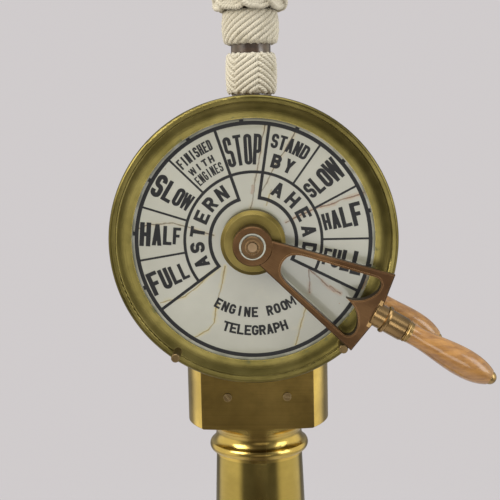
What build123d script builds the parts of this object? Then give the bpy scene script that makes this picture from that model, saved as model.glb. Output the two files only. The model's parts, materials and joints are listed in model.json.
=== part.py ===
"""Ship's engine telegraph: a brass pedestal with a twin-faced drum head.

Frame: millimetres, +Z up, origin on the floor at the centre of the bolt circle. The front dial
faces -Y. The rear half is the front half turned half a turn about +Z, apart from where its lever
stands and the size of its bevel gears.
"""
import math
import os

from build123d import *

os.makedirs("parts", exist_ok=True)

# ---------------------------------------------------------------- driving dimensions
AXIS_Z = 1040.0            # height of the lever axis above the floor
BEZEL_R = 178.0            # bezel outside radius: a 14 inch head
BEZEL_FACE = 125.0         # lip plane, from the centre of the drum
BEZEL_DEPTH = 25.0
DIAL_R = 157.5
DIAL_OPENING_R = 150.0
DIAL_THICKNESS = 6.0
DIAL_HOLE_R = 26.0
SEAL_THICKNESS = 1.0

SHELL_R = 163.0            # drum shell, outside
SHELL_WALL = 6.0
FLANGE_THICKNESS = 7.0

BOX_R = 95.0               # neck box: a turned casting with a flat front and back
BOX_FLAT = 60.0
BOX_WALL = 6.0
BOX_BOTTOM = AXIS_Z - 256.0
JOINT_Z = AXIS_Z - 304.0   # seam between neck casting and column
SKIRT_BOTTOM = AXIS_Z - 235.0
NECK_BORE_R = 44.0

COLUMN_TOP_R = 58.6
COLUMN_FOOT_R = 84.0
COLUMN_WALL = 6.0
COLUMN_FOOT_Z = 64.0
BASE_R = 145.0
BOLT_CIRCLE_R = 130.0
BOLT_HOLE_R = 6.5
BOLT_COUNT = 6

SHAFT_R = 9.0              # lever shafts
SHAFT_SQUARE = 13.0        # square that drives the lever
STUD_R = 6.4               # threaded end under the nut
INNER_DRIVE_R = 6.0        # solid vertical shaft, turned by the front lever
OUTER_DRIVE_R = 11.0       # tubular vertical shaft, turned by the rear lever
OUTER_DRIVE_BORE = 8.0
INNER_DRIVE_FOOT = 8.0
OUTER_DRIVE_FOOT = 34.0
INNER_END_R = 5.5          # turned-down ends that the couplings below the deck clamp
OUTER_END_R = 10.0
DRIVE_END_LENGTH = 24.0
RUNNING_FIT = 0.05

LEVER_BACK = 153.5         # lever frame, back and front faces, from the centre of the drum
LEVER_FRONT = 168.5
BOSS_BACK = 143.3
BOSS_FRONT = 176.0
BOSS_R = 23.7
LEVER_LENGTH = 173.0
LEVER_CORNER = (164.5, 52.6)
SOCKET_START = 165.0
SOCKET_END = 208.0
SOCKET_R = 14.4
GRIP_START = 216.0
GRIP_END = 326.0
TANG_R = 5.0
NUT_R = 13.4
NUT_RECESS_R = 8.2
WASHER_R = 15.6

PIN_CIRCLE_R = 167.5       # stop pins on the bezel
PIN_R = 5.3
PIN_ANGLES = (234.7, 309.6)
PIN_LENGTH = 33.0          # in front of the lip plane
STOP_ANGLE = 19.9          # lever axis to pin where the lever rests
FRONT_LEVER_ANGLE = PIN_ANGLES[1] + STOP_ANGLE
REAR_LEVER_ANGLE = PIN_ANGLES[0] - STOP_ANGLE   # as seen from behind

FRONT_GEAR_R = 28.0
FRONT_GEAR_TEETH = 16
REAR_GEAR_R = 44.0
REAR_GEAR_TEETH = 24

GONG_CENTRE = (-58.0, 92.0)     # from the lever axis, seen from the front
HAMMER_PIVOT = (38.0, 50.0)
HAMMER_HEAD = (-7.3, 83.1)
HAMMER_TAIL = (14.0, 24.0)
GONG_R = 42.0
STRIKER_BACK = 58.0        # hammers and star wheels lie between these planes
STRIKER_FRONT = 64.0

POST_R = 26.0              # rope-bound post on the crown of the drum
POST_FOOT = AXIS_Z + 171.0
POST_TOP = AXIS_Z + 330.0
LOWER_BAND = (AXIS_Z + 179.0, AXIS_Z + 235.0, 34.5)   # bottom, top, radius
UPPER_BAND = (AXIS_Z + 243.0, AXIS_Z + 291.0, 38.0)
KNOT = (AXIS_Z + 291.0, AXIS_Z + 345.0, 53.0)

AXIS = Axis((0, 0, AXIS_Z), (0, 1, 0))
APEX = (0, 0, AXIS_Z)      # where the lever shafts and the vertical shafts cross


# ---------------------------------------------------------------- helpers
def facing(depth, angle=0.0, centre=(0.0, 0.0)):
    """Plane that faces the viewer, `depth` in front of the drum's centre, turned by `angle`."""
    turn = math.radians(angle)
    origin = (centre[0], -depth, AXIS_Z + centre[1])
    return Plane(origin=origin, x_dir=(math.cos(turn), 0, math.sin(turn)), z_dir=(0, -1, 0))


def polar(radius, angle):
    turn = math.radians(angle)
    return (radius * math.cos(turn), radius * math.sin(turn))


def save(name, part):
    part.label = name
    export_step(part, f"parts/{name}.step")


def half_turn(part):
    """The same piece on the rear of the drum."""
    with BuildPart() as turned:
        with Locations(Location((0, 0, 0), (0, 0, 180))):
            add(part)
    return turned.part


def both_sides(part):
    """Front and rear fasteners as one group of separate solids."""
    with BuildPart() as pair:
        add(part)
        with Locations(Location((0, 0, 0), (0, 0, 180))):
            add(part)
    return pair.part


def ring_about_drum(points):
    """Solid of revolution about the lever axis from (radius, distance behind the lip) points."""
    with BuildPart() as ring:
        with BuildSketch(Plane.YZ):
            with BuildLine():
                Polyline([(back - BEZEL_FACE, AXIS_Z + radius) for radius, back in points], close=True)
            make_face()
        revolve(axis=AXIS)
    return ring.part


def disc_between(back, front, radius, bore):
    """Washer or sleeve round the lever axis, between two distances in front of the centre."""
    with BuildPart() as disc:
        with BuildSketch(facing(back)):
            Circle(radius)
            Circle(bore, mode=Mode.SUBTRACT)
        extrude(amount=front - back)
    return disc.part


def turned_upright(points):
    """Solid of revolution about the vertical axis from (radius, height) points."""
    with BuildPart() as solid:
        with BuildSketch(Plane.XZ):
            with BuildLine():
                Polyline(points, close=True)
            make_face()
        revolve(axis=Axis.Z)
    return solid.part


def slotted_screws(planes, head_r, head_h, shank_r, shank_l, slot_angle=25.0):
    """Slotted cheese-head screws; each plane lies under the head and faces outward."""
    with BuildPart() as screws:
        for index, plane in enumerate(planes):
            with BuildSketch(plane):
                Circle(head_r)
            extrude(amount=head_h)
            with BuildSketch(plane):
                Circle(shank_r)
            extrude(amount=-shank_l)
            with BuildSketch(plane.offset(head_h - 0.9)):
                Rectangle(1.2, 3 * head_r, rotation=slot_angle * (index + 1))
            extrude(amount=2, mode=Mode.SUBTRACT)
    return screws.part


# ---------------------------------------------------------------- pedestal
BASE_SPIGOT_R = 76.5
WEB_BOTTOM = 64.0
WEB_TOP = 76.0
FOOT_BEARING_R = 24.0

COLUMN_SCREW_Z = 82.0
COLUMN_SCREW_ANGLES = range(0, 360, 60)
COLUMN_SCREW_R = 3.0


def radial_plane(angle, radius, height):
    """Plane that faces outward from the pedestal's axis."""
    x, y = polar(radius, angle)
    turn = math.radians(angle)
    return Plane(origin=(x, y, height), x_dir=(0, 0, 1), z_dir=(math.cos(turn), math.sin(turn), 0))


with BuildPart() as base_flange:
    with BuildSketch(Plane.XZ):
        with BuildLine():
            Polyline((0, 0), (BASE_R, 0), (BASE_R, 12), (BASE_R - 3, 15), (BASE_R - 24, 15))
            ThreePointArc((BASE_R - 24, 15), (104, 24), (96, 48))
            ThreePointArc((96, 48), (99, 53), (96, 58))
            Polyline((96, 58), (90, 58), (90, COLUMN_FOOT_Z), (BASE_SPIGOT_R, COLUMN_FOOT_Z))
            Polyline((BASE_SPIGOT_R, COLUMN_FOOT_Z), (BASE_SPIGOT_R, 88), (0, 88), (0, 0))
        make_face()
    revolve(axis=Axis.Z)
    with BuildSketch(Plane.XY):
        Circle(80)
    extrude(amount=48, mode=Mode.SUBTRACT)
    with BuildSketch(Plane.XY):
        Circle(66)
    extrude(amount=WEB_BOTTOM, mode=Mode.SUBTRACT)
    with BuildSketch(Plane.XY.offset(WEB_TOP)):
        Circle(66)
    extrude(amount=20, mode=Mode.SUBTRACT)
    with BuildSketch(Plane.XY):
        Circle(FOOT_BEARING_R)
    extrude(amount=100, mode=Mode.SUBTRACT)
    with BuildSketch(Plane.XY):
        with PolarLocations(BOLT_CIRCLE_R, BOLT_COUNT, start_angle=30):
            Circle(BOLT_HOLE_R)
    extrude(amount=40, mode=Mode.SUBTRACT)
    for angle in COLUMN_SCREW_ANGLES:
        with BuildSketch(radial_plane(angle, BASE_SPIGOT_R + 1, COLUMN_SCREW_Z)):
            Circle(COLUMN_SCREW_R + RUNNING_FIT)
        extrude(amount=-20, mode=Mode.SUBTRACT)
save("base_flange", base_flange.part)

COLUMN_LENGTH = JOINT_Z - COLUMN_FOOT_Z
COLUMN_PLATE = 10.0
SPIGOT_R = 43.8
SPIGOT_H = 14.0
UPPER_BEARING_R = 38.0


def column_radius(height):
    return COLUMN_FOOT_R + (COLUMN_TOP_R - COLUMN_FOOT_R) * (height - COLUMN_FOOT_Z) / COLUMN_LENGTH


with BuildPart() as column:
    with BuildSketch(Plane.XZ):
        with BuildLine():
            Polyline(
                (COLUMN_FOOT_R, COLUMN_FOOT_Z),
                (COLUMN_TOP_R, JOINT_Z),
                (SPIGOT_R, JOINT_Z),
                (SPIGOT_R, JOINT_Z + SPIGOT_H),
                (UPPER_BEARING_R, JOINT_Z + SPIGOT_H),
                (UPPER_BEARING_R, JOINT_Z - COLUMN_PLATE),
                (COLUMN_TOP_R - COLUMN_WALL, JOINT_Z - COLUMN_PLATE),
                (BASE_SPIGOT_R + 0.5, 100),
                (BASE_SPIGOT_R, 90),
                (BASE_SPIGOT_R, COLUMN_FOOT_Z),
                close=True,
            )
        make_face()
    revolve(axis=Axis.Z)
    for angle in COLUMN_SCREW_ANGLES:
        with BuildSketch(radial_plane(angle, column_radius(COLUMN_SCREW_Z) + 2, COLUMN_SCREW_Z)):
            Circle(5.2)
        extrude(amount=-(2 + 3.2), mode=Mode.SUBTRACT)
        with BuildSketch(radial_plane(angle, column_radius(COLUMN_SCREW_Z) + 2, COLUMN_SCREW_Z)):
            Circle(COLUMN_SCREW_R + RUNNING_FIT)
        extrude(amount=-20, mode=Mode.SUBTRACT)
save("column", column.part)

SCREW_SEAT = column_radius(COLUMN_SCREW_Z) - 3.2
column_screws = slotted_screws(
    [radial_plane(angle, SCREW_SEAT, COLUMN_SCREW_Z) for angle in COLUMN_SCREW_ANGLES],
    head_r=5.0, head_h=2.8, shank_r=COLUMN_SCREW_R, shank_l=SCREW_SEAT - BASE_SPIGOT_R + 8.0)
save("column_screws", column_screws)

NECK_SCREW = (39.0, -213.0)
NECK_SCREW_R = 2.5

with BuildPart() as neck_box:
    with BuildSketch(Plane.XZ):
        with BuildLine():
            Polyline((NECK_BORE_R, JOINT_Z), (59.5, JOINT_Z), (59.5, JOINT_Z + 4.5), (64.5, JOINT_Z + 6))
            ThreePointArc((64.5, JOINT_Z + 6), (67.0, JOINT_Z + 11), (65.5, JOINT_Z + 17))
            ThreePointArc((65.5, JOINT_Z + 17), (58.6, JOINT_Z + 27), (60.5, JOINT_Z + 36))
            ThreePointArc((60.5, JOINT_Z + 36), (66.0, JOINT_Z + 43.5), (77.0, JOINT_Z + 47))
            Polyline((77.0, JOINT_Z + 47), (BOX_R - 1.5, BOX_BOTTOM), (BOX_R, BOX_BOTTOM + 1.5))
            Polyline((BOX_R, BOX_BOTTOM + 1.5), (BOX_R, AXIS_Z - 100), (NECK_BORE_R, AXIS_Z - 100))
            Line((NECK_BORE_R, AXIS_Z - 100), (NECK_BORE_R, JOINT_Z))
        make_face()
    revolve(axis=Axis.Z)
    with BuildSketch(Plane.XY.offset(JOINT_Z + 30)):
        with Locations((0, BOX_FLAT + 50), (0, -BOX_FLAT - 50)):
            Rectangle(240, 100)
    extrude(amount=300, mode=Mode.SUBTRACT)
    with BuildSketch(Plane.XY.offset(BOX_BOTTOM + 16)):
        Circle(BOX_R - BOX_WALL)
        Rectangle(240, 2 * (BOX_FLAT - BOX_WALL), mode=Mode.INTERSECT)
    extrude(amount=300, mode=Mode.SUBTRACT)
    with BuildSketch(Plane.XZ.offset(-200)):
        with Locations((0, AXIS_Z)):
            Circle(SHELL_R)
    extrude(amount=400, mode=Mode.SUBTRACT)
    with BuildSketch(facing(-100)):
        with Locations((NECK_SCREW[0], NECK_SCREW[1]), (-NECK_SCREW[0], NECK_SCREW[1])):
            Circle(NECK_SCREW_R + RUNNING_FIT)
    extrude(amount=200, mode=Mode.SUBTRACT)
save("neck_box", neck_box.part)

SKIRT_FIT = 0.1
SKIRT_WALL = 6.0
screw_planes = [facing(BOX_FLAT, centre=(side * NECK_SCREW[0], NECK_SCREW[1])) for side in (-1, 1)]
front_neck_screws = slotted_screws(
    screw_planes, head_r=5.4, head_h=2.6, shank_r=NECK_SCREW_R, shank_l=11.0, slot_angle=40.0)
save("neck_screws", both_sides(front_neck_screws))

# ---------------------------------------------------------------- drum
BRIDGE_FRONT = 96.0
BRIDGE_BACK = 84.0
BRIDGE_HALF = 18.0
LUG_X = 146.0
BRIDGE_SCREW_R = 3.0
CROWN_PAD_R = 33.0
BEZEL_SCREW_CIRCLE = 172.0
BEZEL_SCREW_R = 2.5
FLANGE_FACE = BEZEL_FACE - BEZEL_DEPTH

with BuildPart() as drum_case:
    with BuildSketch(Plane.YZ):
        with BuildLine():
            Polyline(
                (-FLANGE_FACE, AXIS_Z + SHELL_R - SHELL_WALL),
                (-FLANGE_FACE, AXIS_Z + SHELL_R),
                (FLANGE_FACE, AXIS_Z + SHELL_R),
                (FLANGE_FACE, AXIS_Z + SHELL_R - SHELL_WALL),
                close=True,
            )
        make_face()
    revolve(axis=AXIS)
    # crown pad for the post, and the skirt that the neck box slides over
    with BuildSketch(Plane.XY.offset(AXIS_Z + SHELL_R - SHELL_WALL + 1)):
        Circle(CROWN_PAD_R)
    extrude(amount=POST_FOOT - AXIS_Z - SHELL_R + SHELL_WALL - 1)
    with BuildSketch(Plane.XY.offset(SKIRT_BOTTOM)):
        Circle(BOX_R - BOX_WALL - SKIRT_FIT)
        Rectangle(240, 2 * (BOX_FLAT - BOX_WALL - SKIRT_FIT), mode=Mode.INTERSECT)
    extrude(amount=AXIS_Z - 134 - SKIRT_BOTTOM)
    with BuildSketch(Plane.XY.offset(SKIRT_BOTTOM)):
        Circle(BOX_R - BOX_WALL - SKIRT_FIT - SKIRT_WALL)
        Rectangle(240, 2 * (BOX_FLAT - BOX_WALL - SKIRT_FIT - SKIRT_WALL), mode=Mode.INTERSECT)
    extrude(amount=AXIS_Z - 120 - SKIRT_BOTTOM, mode=Mode.SUBTRACT)
    # clear the inside of the drum, then put back the lugs that carry the bridges
    with BuildSketch(facing(-BRIDGE_BACK)):
        Circle(SHELL_R - SHELL_WALL)
    extrude(amount=2 * BRIDGE_BACK, mode=Mode.SUBTRACT)
    for depth in (BRIDGE_BACK - 14, -BRIDGE_BACK):
        with BuildSketch(facing(depth)):
            with Locations((LUG_X + 8, 0), (-LUG_X - 8, 0)):
                Rectangle(32, 2 * BRIDGE_HALF)
            Circle(SHELL_R - 2, mode=Mode.INTERSECT)
        extrude(amount=14)
    with BuildSketch(facing(-FLANGE_FACE - 1)):
        with Locations((LUG_X, 0), (-LUG_X, 0)):
            Circle(BRIDGE_SCREW_R + RUNNING_FIT)
    extrude(amount=2 * FLANGE_FACE + 2, mode=Mode.SUBTRACT)
    with BuildSketch(facing(-100)):
        with Locations((NECK_SCREW[0], NECK_SCREW[1]), (-NECK_SCREW[0], NECK_SCREW[1])):
            Circle(NECK_SCREW_R + RUNNING_FIT)
    extrude(amount=200, mode=Mode.SUBTRACT)
    with BuildSketch(Plane.XY.offset(AXIS_Z + 140)):
        Circle(8.0)
    extrude(amount=60, mode=Mode.SUBTRACT)
save("drum_case", drum_case.part)

with BuildPart() as case_ring:
    with BuildSketch(facing(FLANGE_FACE - FLANGE_THICKNESS)):
        Circle(BEZEL_R)
        Circle(SHELL_R, mode=Mode.SUBTRACT)
        with PolarLocations(BEZEL_SCREW_CIRCLE, 6):
            Circle(BEZEL_SCREW_R + RUNNING_FIT, mode=Mode.SUBTRACT)
    extrude(amount=FLANGE_THICKNESS)
save("front_case_ring", case_ring.part)
save("rear_case_ring", half_turn(case_ring.part))


# ---------------------------------------------------------------- bezel, dial and their fasteners
SEAT_BACK = 9.0            # distances behind the lip plane
DIAL_FRONT_BACK = SEAT_BACK + SEAL_THICKNESS
DIAL_REAR_BACK = DIAL_FRONT_BACK + DIAL_THICKNESS
SHOULDER_BACK = DIAL_REAR_BACK + 1.0
CLAMP_BACK = SHOULDER_BACK + 4.0
CLAMP_SCREW_CIRCLE = 163.0

with BuildPart() as bezel:
    with BuildSketch(Plane.YZ):
        with BuildLine():
            lip = [(-BEZEL_FACE + back, AXIS_Z + radius) for radius, back in (
                (BEZEL_R, 4.0), (BEZEL_R - 1.2, 1.2), (BEZEL_R - 4.0, 0.0), (170.5, 0.0), (169.3, 0.5),
                (168.8, 2.0), (167.4, 2.4), (159.0, 5.6), (DIAL_OPENING_R, 6.6))]
            ThreePointArc(lip[0], lip[1], lip[2])
            Line(lip[2], lip[3])
            ThreePointArc(lip[3], lip[4], lip[5])
            Line(lip[5], lip[6])
            ThreePointArc(lip[6], lip[7], lip[8])
            Polyline(lip[8], *[(-BEZEL_FACE + back, AXIS_Z + radius) for radius, back in (
                (DIAL_OPENING_R, SEAT_BACK), (DIAL_R + 1.0, SEAT_BACK), (DIAL_R + 1.0, SHOULDER_BACK),
                (168.0, SHOULDER_BACK), (168.0, BEZEL_DEPTH), (BEZEL_R, BEZEL_DEPTH))], lip[0])
        make_face()
    revolve(axis=AXIS)
    with BuildSketch(facing(BEZEL_FACE - 13)):
        for angle in PIN_ANGLES:
            with Locations(polar(PIN_CIRCLE_R, angle)):
                Circle(PIN_R)
    extrude(amount=20, mode=Mode.SUBTRACT)
    with BuildSketch(facing(FLANGE_FACE)):
        with PolarLocations(BEZEL_SCREW_CIRCLE, 6):
            Circle(BEZEL_SCREW_R + RUNNING_FIT)
    extrude(amount=10, mode=Mode.SUBTRACT)
    with BuildSketch(facing(BEZEL_FACE - SHOULDER_BACK)):
        with PolarLocations(CLAMP_SCREW_CIRCLE, 6, start_angle=30):
            Circle(2.0 + RUNNING_FIT)
    extrude(amount=8, mode=Mode.SUBTRACT)
save("front_bezel", bezel.part)
save("rear_bezel", half_turn(bezel.part))

dial = disc_between(BEZEL_FACE - DIAL_REAR_BACK, BEZEL_FACE - DIAL_FRONT_BACK, DIAL_R, DIAL_HOLE_R)
save("front_dial", dial)
save("rear_dial", half_turn(dial))

seal = disc_between(BEZEL_FACE - DIAL_FRONT_BACK, BEZEL_FACE - SEAT_BACK, DIAL_R, DIAL_OPENING_R + 0.5)
save("dial_seals", both_sides(seal))

with BuildPart() as clamp_ring:
    add(ring_about_drum([(142, DIAL_REAR_BACK), (DIAL_R, DIAL_REAR_BACK), (DIAL_R, SHOULDER_BACK),
                         (167.5, SHOULDER_BACK), (167.5, CLAMP_BACK), (142, CLAMP_BACK)]))
    with BuildSketch(facing(BEZEL_FACE - CLAMP_BACK - 1)):
        with PolarLocations(CLAMP_SCREW_CIRCLE, 6, start_angle=30):
            Circle(2.0 + RUNNING_FIT)
    extrude(amount=10, mode=Mode.SUBTRACT)
save("front_clamp_ring", clamp_ring.part)
save("rear_clamp_ring", half_turn(clamp_ring.part))


def inward_plane(angle, radius, depth):
    """Plane on the front half that faces the centre of the drum, for screws put in from behind."""
    x, z = polar(radius, angle)
    return Plane(origin=(x, -depth, AXIS_Z + z), x_dir=(1, 0, 0), z_dir=(0, 1, 0))


clamp_screws = slotted_screws(
    [inward_plane(angle, CLAMP_SCREW_CIRCLE, BEZEL_FACE - CLAMP_BACK) for angle in range(30, 390, 60)],
    head_r=3.6, head_h=1.8, shank_r=2.0, shank_l=11.0)

bezel_screws = slotted_screws(
    [inward_plane(angle, BEZEL_SCREW_CIRCLE, FLANGE_FACE - FLANGE_THICKNESS) for angle in range(0, 360, 60)],
    head_r=4.4, head_h=2.6, shank_r=BEZEL_SCREW_R, shank_l=FLANGE_THICKNESS + 9.0)

with BuildPart() as stop_pins:
    for angle in PIN_ANGLES:
        with BuildSketch(facing(BEZEL_FACE - 13, centre=polar(PIN_CIRCLE_R, angle))):
            Circle(PIN_R)
        extrude(amount=13 + PIN_LENGTH)
    chamfer(stop_pins.edges().group_by(Axis.Y)[0], length=0.8)
save("stop_pins", both_sides(stop_pins.part))

# ---------------------------------------------------------------- bearings
HUB_PLATE_FRONT = 143.0
HUB_PLATE_R = 39.5
HUB_PLATE_BACK = BEZEL_FACE - DIAL_FRONT_BACK + 0.5
BUSH_R = 14.0
BUSH_BACK = 70.0
BRIDGE_BOSS_FRONT = 100.0
GONG_SHOULDER = 68.0

with BuildPart() as hub_plate:
    with BuildSketch(facing(HUB_PLATE_BACK)):
        Circle(HUB_PLATE_R)
    extrude(amount=HUB_PLATE_FRONT - HUB_PLATE_BACK)
    chamfer(hub_plate.edges().group_by(Axis.Y)[0], length=4.5)
    with BuildSketch(facing(BRIDGE_BOSS_FRONT)):
        Circle(DIAL_HOLE_R - 1)
    extrude(amount=HUB_PLATE_BACK - BRIDGE_BOSS_FRONT)
    with BuildSketch(facing(BRIDGE_BOSS_FRONT - 1)):
        Circle(BUSH_R)
    extrude(amount=60, mode=Mode.SUBTRACT)
save("front_hub_plate", hub_plate.part)
save("rear_hub_plate", half_turn(hub_plate.part))

bush = disc_between(BUSH_BACK, HUB_PLATE_FRONT - 0.3, BUSH_R, SHAFT_R + RUNNING_FIT)
save("front_bush", bush)
save("rear_bush", half_turn(bush))


def arm(start, end, width):
    """Round-ended bar between two points of the current sketch."""
    middle = ((start[0] + end[0]) / 2, (start[1] + end[1]) / 2)
    SlotCenterPoint(center=middle, point=end, height=width)


with BuildPart() as bridge:
    with BuildSketch(facing(BRIDGE_BACK)):
        Rectangle(400, 2 * BRIDGE_HALF)
        Circle(SHELL_R - SHELL_WALL - 0.5, mode=Mode.INTERSECT)
        Circle(28)
        arm((0, 0), GONG_CENTRE, 18)
        arm((0, 0), HAMMER_PIVOT, 18)
    extrude(amount=BRIDGE_FRONT - BRIDGE_BACK)
    with BuildSketch(facing(BUSH_BACK)):
        Circle(26)
    extrude(amount=BRIDGE_BOSS_FRONT - BUSH_BACK)
    with BuildSketch(facing(GONG_SHOULDER, centre=GONG_CENTRE)):
        Circle(7)
    extrude(amount=BRIDGE_BACK - GONG_SHOULDER)
    with BuildSketch(facing(GONG_SHOULDER - 8, centre=GONG_CENTRE)):
        Circle(4)
    extrude(amount=8)
    with BuildSketch(facing(STRIKER_BACK - 1, centre=HAMMER_PIVOT)):
        Circle(3.5)
    extrude(amount=BRIDGE_BACK - STRIKER_BACK + 1)
    with BuildSketch(facing(BUSH_BACK - 1)):
        Circle(BUSH_R)
    extrude(amount=60, mode=Mode.SUBTRACT)
    with BuildSketch(facing(BRIDGE_BACK - 1)):
        with Locations((LUG_X, 0), (-LUG_X, 0)):
            Circle(BRIDGE_SCREW_R + RUNNING_FIT)
    extrude(amount=20, mode=Mode.SUBTRACT)
save("front_bridge", bridge.part)
save("rear_bridge", half_turn(bridge.part))

bridge_screws = slotted_screws(
    [facing(BRIDGE_FRONT, centre=(side * LUG_X, 0)) for side in (-1, 1)],
    head_r=5.5, head_h=3.0, shank_r=BRIDGE_SCREW_R, shank_l=24.0)
with BuildPart() as head_screws:
    add(clamp_screws)
    add(bezel_screws)
    add(bridge_screws)
save("head_screws", both_sides(head_screws.part))


# ---------------------------------------------------------------- lever, nut and handle
EDGE_SLOPE = 0.2473        # flare of the lever's outer edges
EDGE_AT_AXIS = LEVER_CORNER[1] - EDGE_SLOPE * LEVER_CORNER[0]
OPENING_START = 40.6
OPENING_END = 156.7
LOBE_CENTRE = (123.2, 34.3)
LOBE_R = 34.6
LOBE_MIDDLE_TURN = math.radians(-48)
BEAD = 2.0                 # raised lip round the opening
BEAD_H = 1.0


def lever_opening(grow=0.0):
    """Heart-shaped opening: flaring sides and two round lobes that meet in a point."""
    near = (47.0 - 0.4 * grow, 14.2 + 0.9 * grow)
    bend = (53.5 - 0.2 * grow, 17.4 + grow)
    flare = (61.0, 19.8 + grow)
    far = (145.6, 39.0 + grow)
    corner = (153.3 + 0.7 * grow, 37.3 + 0.7 * grow)
    end = OPENING_END + grow
    lobe = (end, 30.3)
    radius = LOBE_R + grow
    lobe_end = (end, LOBE_CENTRE[1] - math.sqrt(radius ** 2 - (end - LOBE_CENTRE[0]) ** 2))
    middle = (LOBE_CENTRE[0] + radius * math.cos(LOBE_MIDDLE_TURN),
              LOBE_CENTRE[1] + radius * math.sin(LOBE_MIDDLE_TURN))
    point = (LOBE_CENTRE[0] + math.sqrt(radius ** 2 - LOBE_CENTRE[1] ** 2), 0.0)

    def down(spot):
        return (spot[0], -spot[1])

    with BuildLine() as edge:
        ThreePointArc(down(near), (OPENING_START - grow, 0), near)
        ThreePointArc(near, bend, flare)
        Line(flare, far)
        ThreePointArc(far, corner, lobe)
        Line(lobe, lobe_end)
        ThreePointArc(lobe_end, middle, point)
        ThreePointArc(point, down(middle), down(lobe_end))
        Line(down(lobe_end), down(lobe))
        ThreePointArc(down(lobe), down(corner), down(far))
        Line(down(far), down(flare))
        ThreePointArc(down(flare), down(bend), down(near))
    return edge.line


opening_edge = lever_opening()
bead_edge = lever_opening(BEAD)


def make_lever(angle):
    """Triangular frame with a boss at the shaft and a round socket for the handle."""
    handle_plane = Plane(
        origin=(0, -(LEVER_BACK + LEVER_FRONT) / 2, AXIS_Z),
        x_dir=(math.cos(math.radians(angle)), 0, math.sin(math.radians(angle))),
        z_dir=(-math.sin(math.radians(angle)), 0, math.cos(math.radians(angle))))
    handle_axis = Axis(handle_plane.origin, handle_plane.x_dir)
    with BuildPart() as lever:
        with BuildSketch(facing(LEVER_BACK, angle)):
            with BuildLine():
                Polyline((0, -EDGE_AT_AXIS), (LEVER_CORNER[0], -LEVER_CORNER[1]), (LEVER_LENGTH, 0),
                         LEVER_CORNER, (0, EDGE_AT_AXIS), close=True)
            make_face()
            Circle(BOSS_R)
        extrude(amount=LEVER_FRONT - LEVER_BACK)
        chamfer(lever.edges().filter_by(GeomType.LINE).filter_by(
            lambda edge: abs(edge.tangent_at(0.5).Y) < 0.01), length=1.6)
        for depth in (LEVER_BACK - BEAD_H, LEVER_FRONT):
            with BuildSketch(facing(depth, angle)):
                with BuildLine():
                    add(bead_edge)
                make_face()
            extrude(amount=BEAD_H)
        with BuildSketch(facing(LEVER_BACK - 5, angle)):
            with BuildLine():
                add(opening_edge)
            make_face()
        extrude(amount=LEVER_FRONT - LEVER_BACK + 10, mode=Mode.SUBTRACT)
        with BuildSketch(facing(BOSS_BACK, angle)):
            Circle(BOSS_R)
        extrude(amount=BOSS_FRONT - BOSS_BACK)
        chamfer(lever.edges().group_by(Axis.Y)[0], length=1.2)
        with BuildSketch(handle_plane):
            with BuildLine():
                Polyline((SOCKET_START, 0), (SOCKET_START, SOCKET_R - 0.8), (SOCKET_START + 0.8, SOCKET_R),
                         (179.5, SOCKET_R), (180.5, 16.6), (182.5, 17.2), (184.5, 16.6), (185.5, SOCKET_R),
                         (SOCKET_END - 1, SOCKET_R), (SOCKET_END, SOCKET_R - 1), (SOCKET_END, 0), close=True)
            make_face()
        revolve(axis=handle_axis)
        with BuildSketch(handle_plane):
            with Locations(((SOCKET_START + SOCKET_END) / 2 + 3, TANG_R / 2)):
                Rectangle(SOCKET_END - SOCKET_START - 6, TANG_R)
        revolve(axis=handle_axis, mode=Mode.SUBTRACT)
        with BuildSketch(facing(BOSS_BACK - 1, angle)):
            Rectangle(SHAFT_SQUARE, SHAFT_SQUARE)
        extrude(amount=60, mode=Mode.SUBTRACT)
    return lever.part, handle_plane, handle_axis


def turned_handle_piece(handle_plane, handle_axis, outline):
    """Turned piece of the handle; `outline` draws its half profile along the handle's axis."""
    with BuildPart() as piece:
        with BuildSketch(handle_plane):
            with BuildLine():
                outline()
            make_face()
        revolve(axis=handle_axis)
    return piece.part


def stem_outline():
    Polyline((SOCKET_START + 6, 0), (SOCKET_START + 6, TANG_R), (SOCKET_END, TANG_R), (SOCKET_END, 12.6),
             (208.8, 13.4), (209.8, 13.4), (210.6, 12.6), (211.6, 13.4), (212.6, 13.4), (213.4, 12.6),
             (GRIP_START, 12.6), (GRIP_START, TANG_R), (GRIP_END + 4, TANG_R), (GRIP_END + 4, 0), close=True)


def grip_outline():
    Line((GRIP_START, TANG_R), (GRIP_START, 12.4))
    Spline((GRIP_START, 12.4), (241, 13.2), (266, 16.2), (288, 17.6), (310, 15.6), (GRIP_END, 10.0))
    Line((GRIP_END, 10.0), (GRIP_END, TANG_R))
    Line((GRIP_END, TANG_R), (GRIP_START, TANG_R))


def grip_nut_outline():
    Polyline((GRIP_END + 4, 0), (GRIP_END + 4, TANG_R), (GRIP_END, TANG_R), (GRIP_END, 8.5))
    Line((GRIP_END, 8.5), (GRIP_END + 0.5, 8.5))
    CenterArc((GRIP_END + 0.5, 0), 8.5, 90, -90)
    Line((GRIP_END + 9, 0), (GRIP_END + 4, 0))


def make_shaft(angle, inner_end):
    with BuildPart() as shaft:
        with BuildSketch(facing(inner_end)):
            Circle(SHAFT_R)
        extrude(amount=BOSS_BACK - inner_end)
        with BuildSketch(facing(BOSS_BACK, angle)):
            Rectangle(SHAFT_SQUARE, SHAFT_SQUARE)
        extrude(amount=BOSS_FRONT - BOSS_BACK)
        with BuildSketch(facing(BOSS_FRONT)):
            Circle(STUD_R)
        extrude(amount=7.5)
        chamfer(shaft.edges().group_by(Axis.Y)[0], length=0.8)
    return shaft.part


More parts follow.
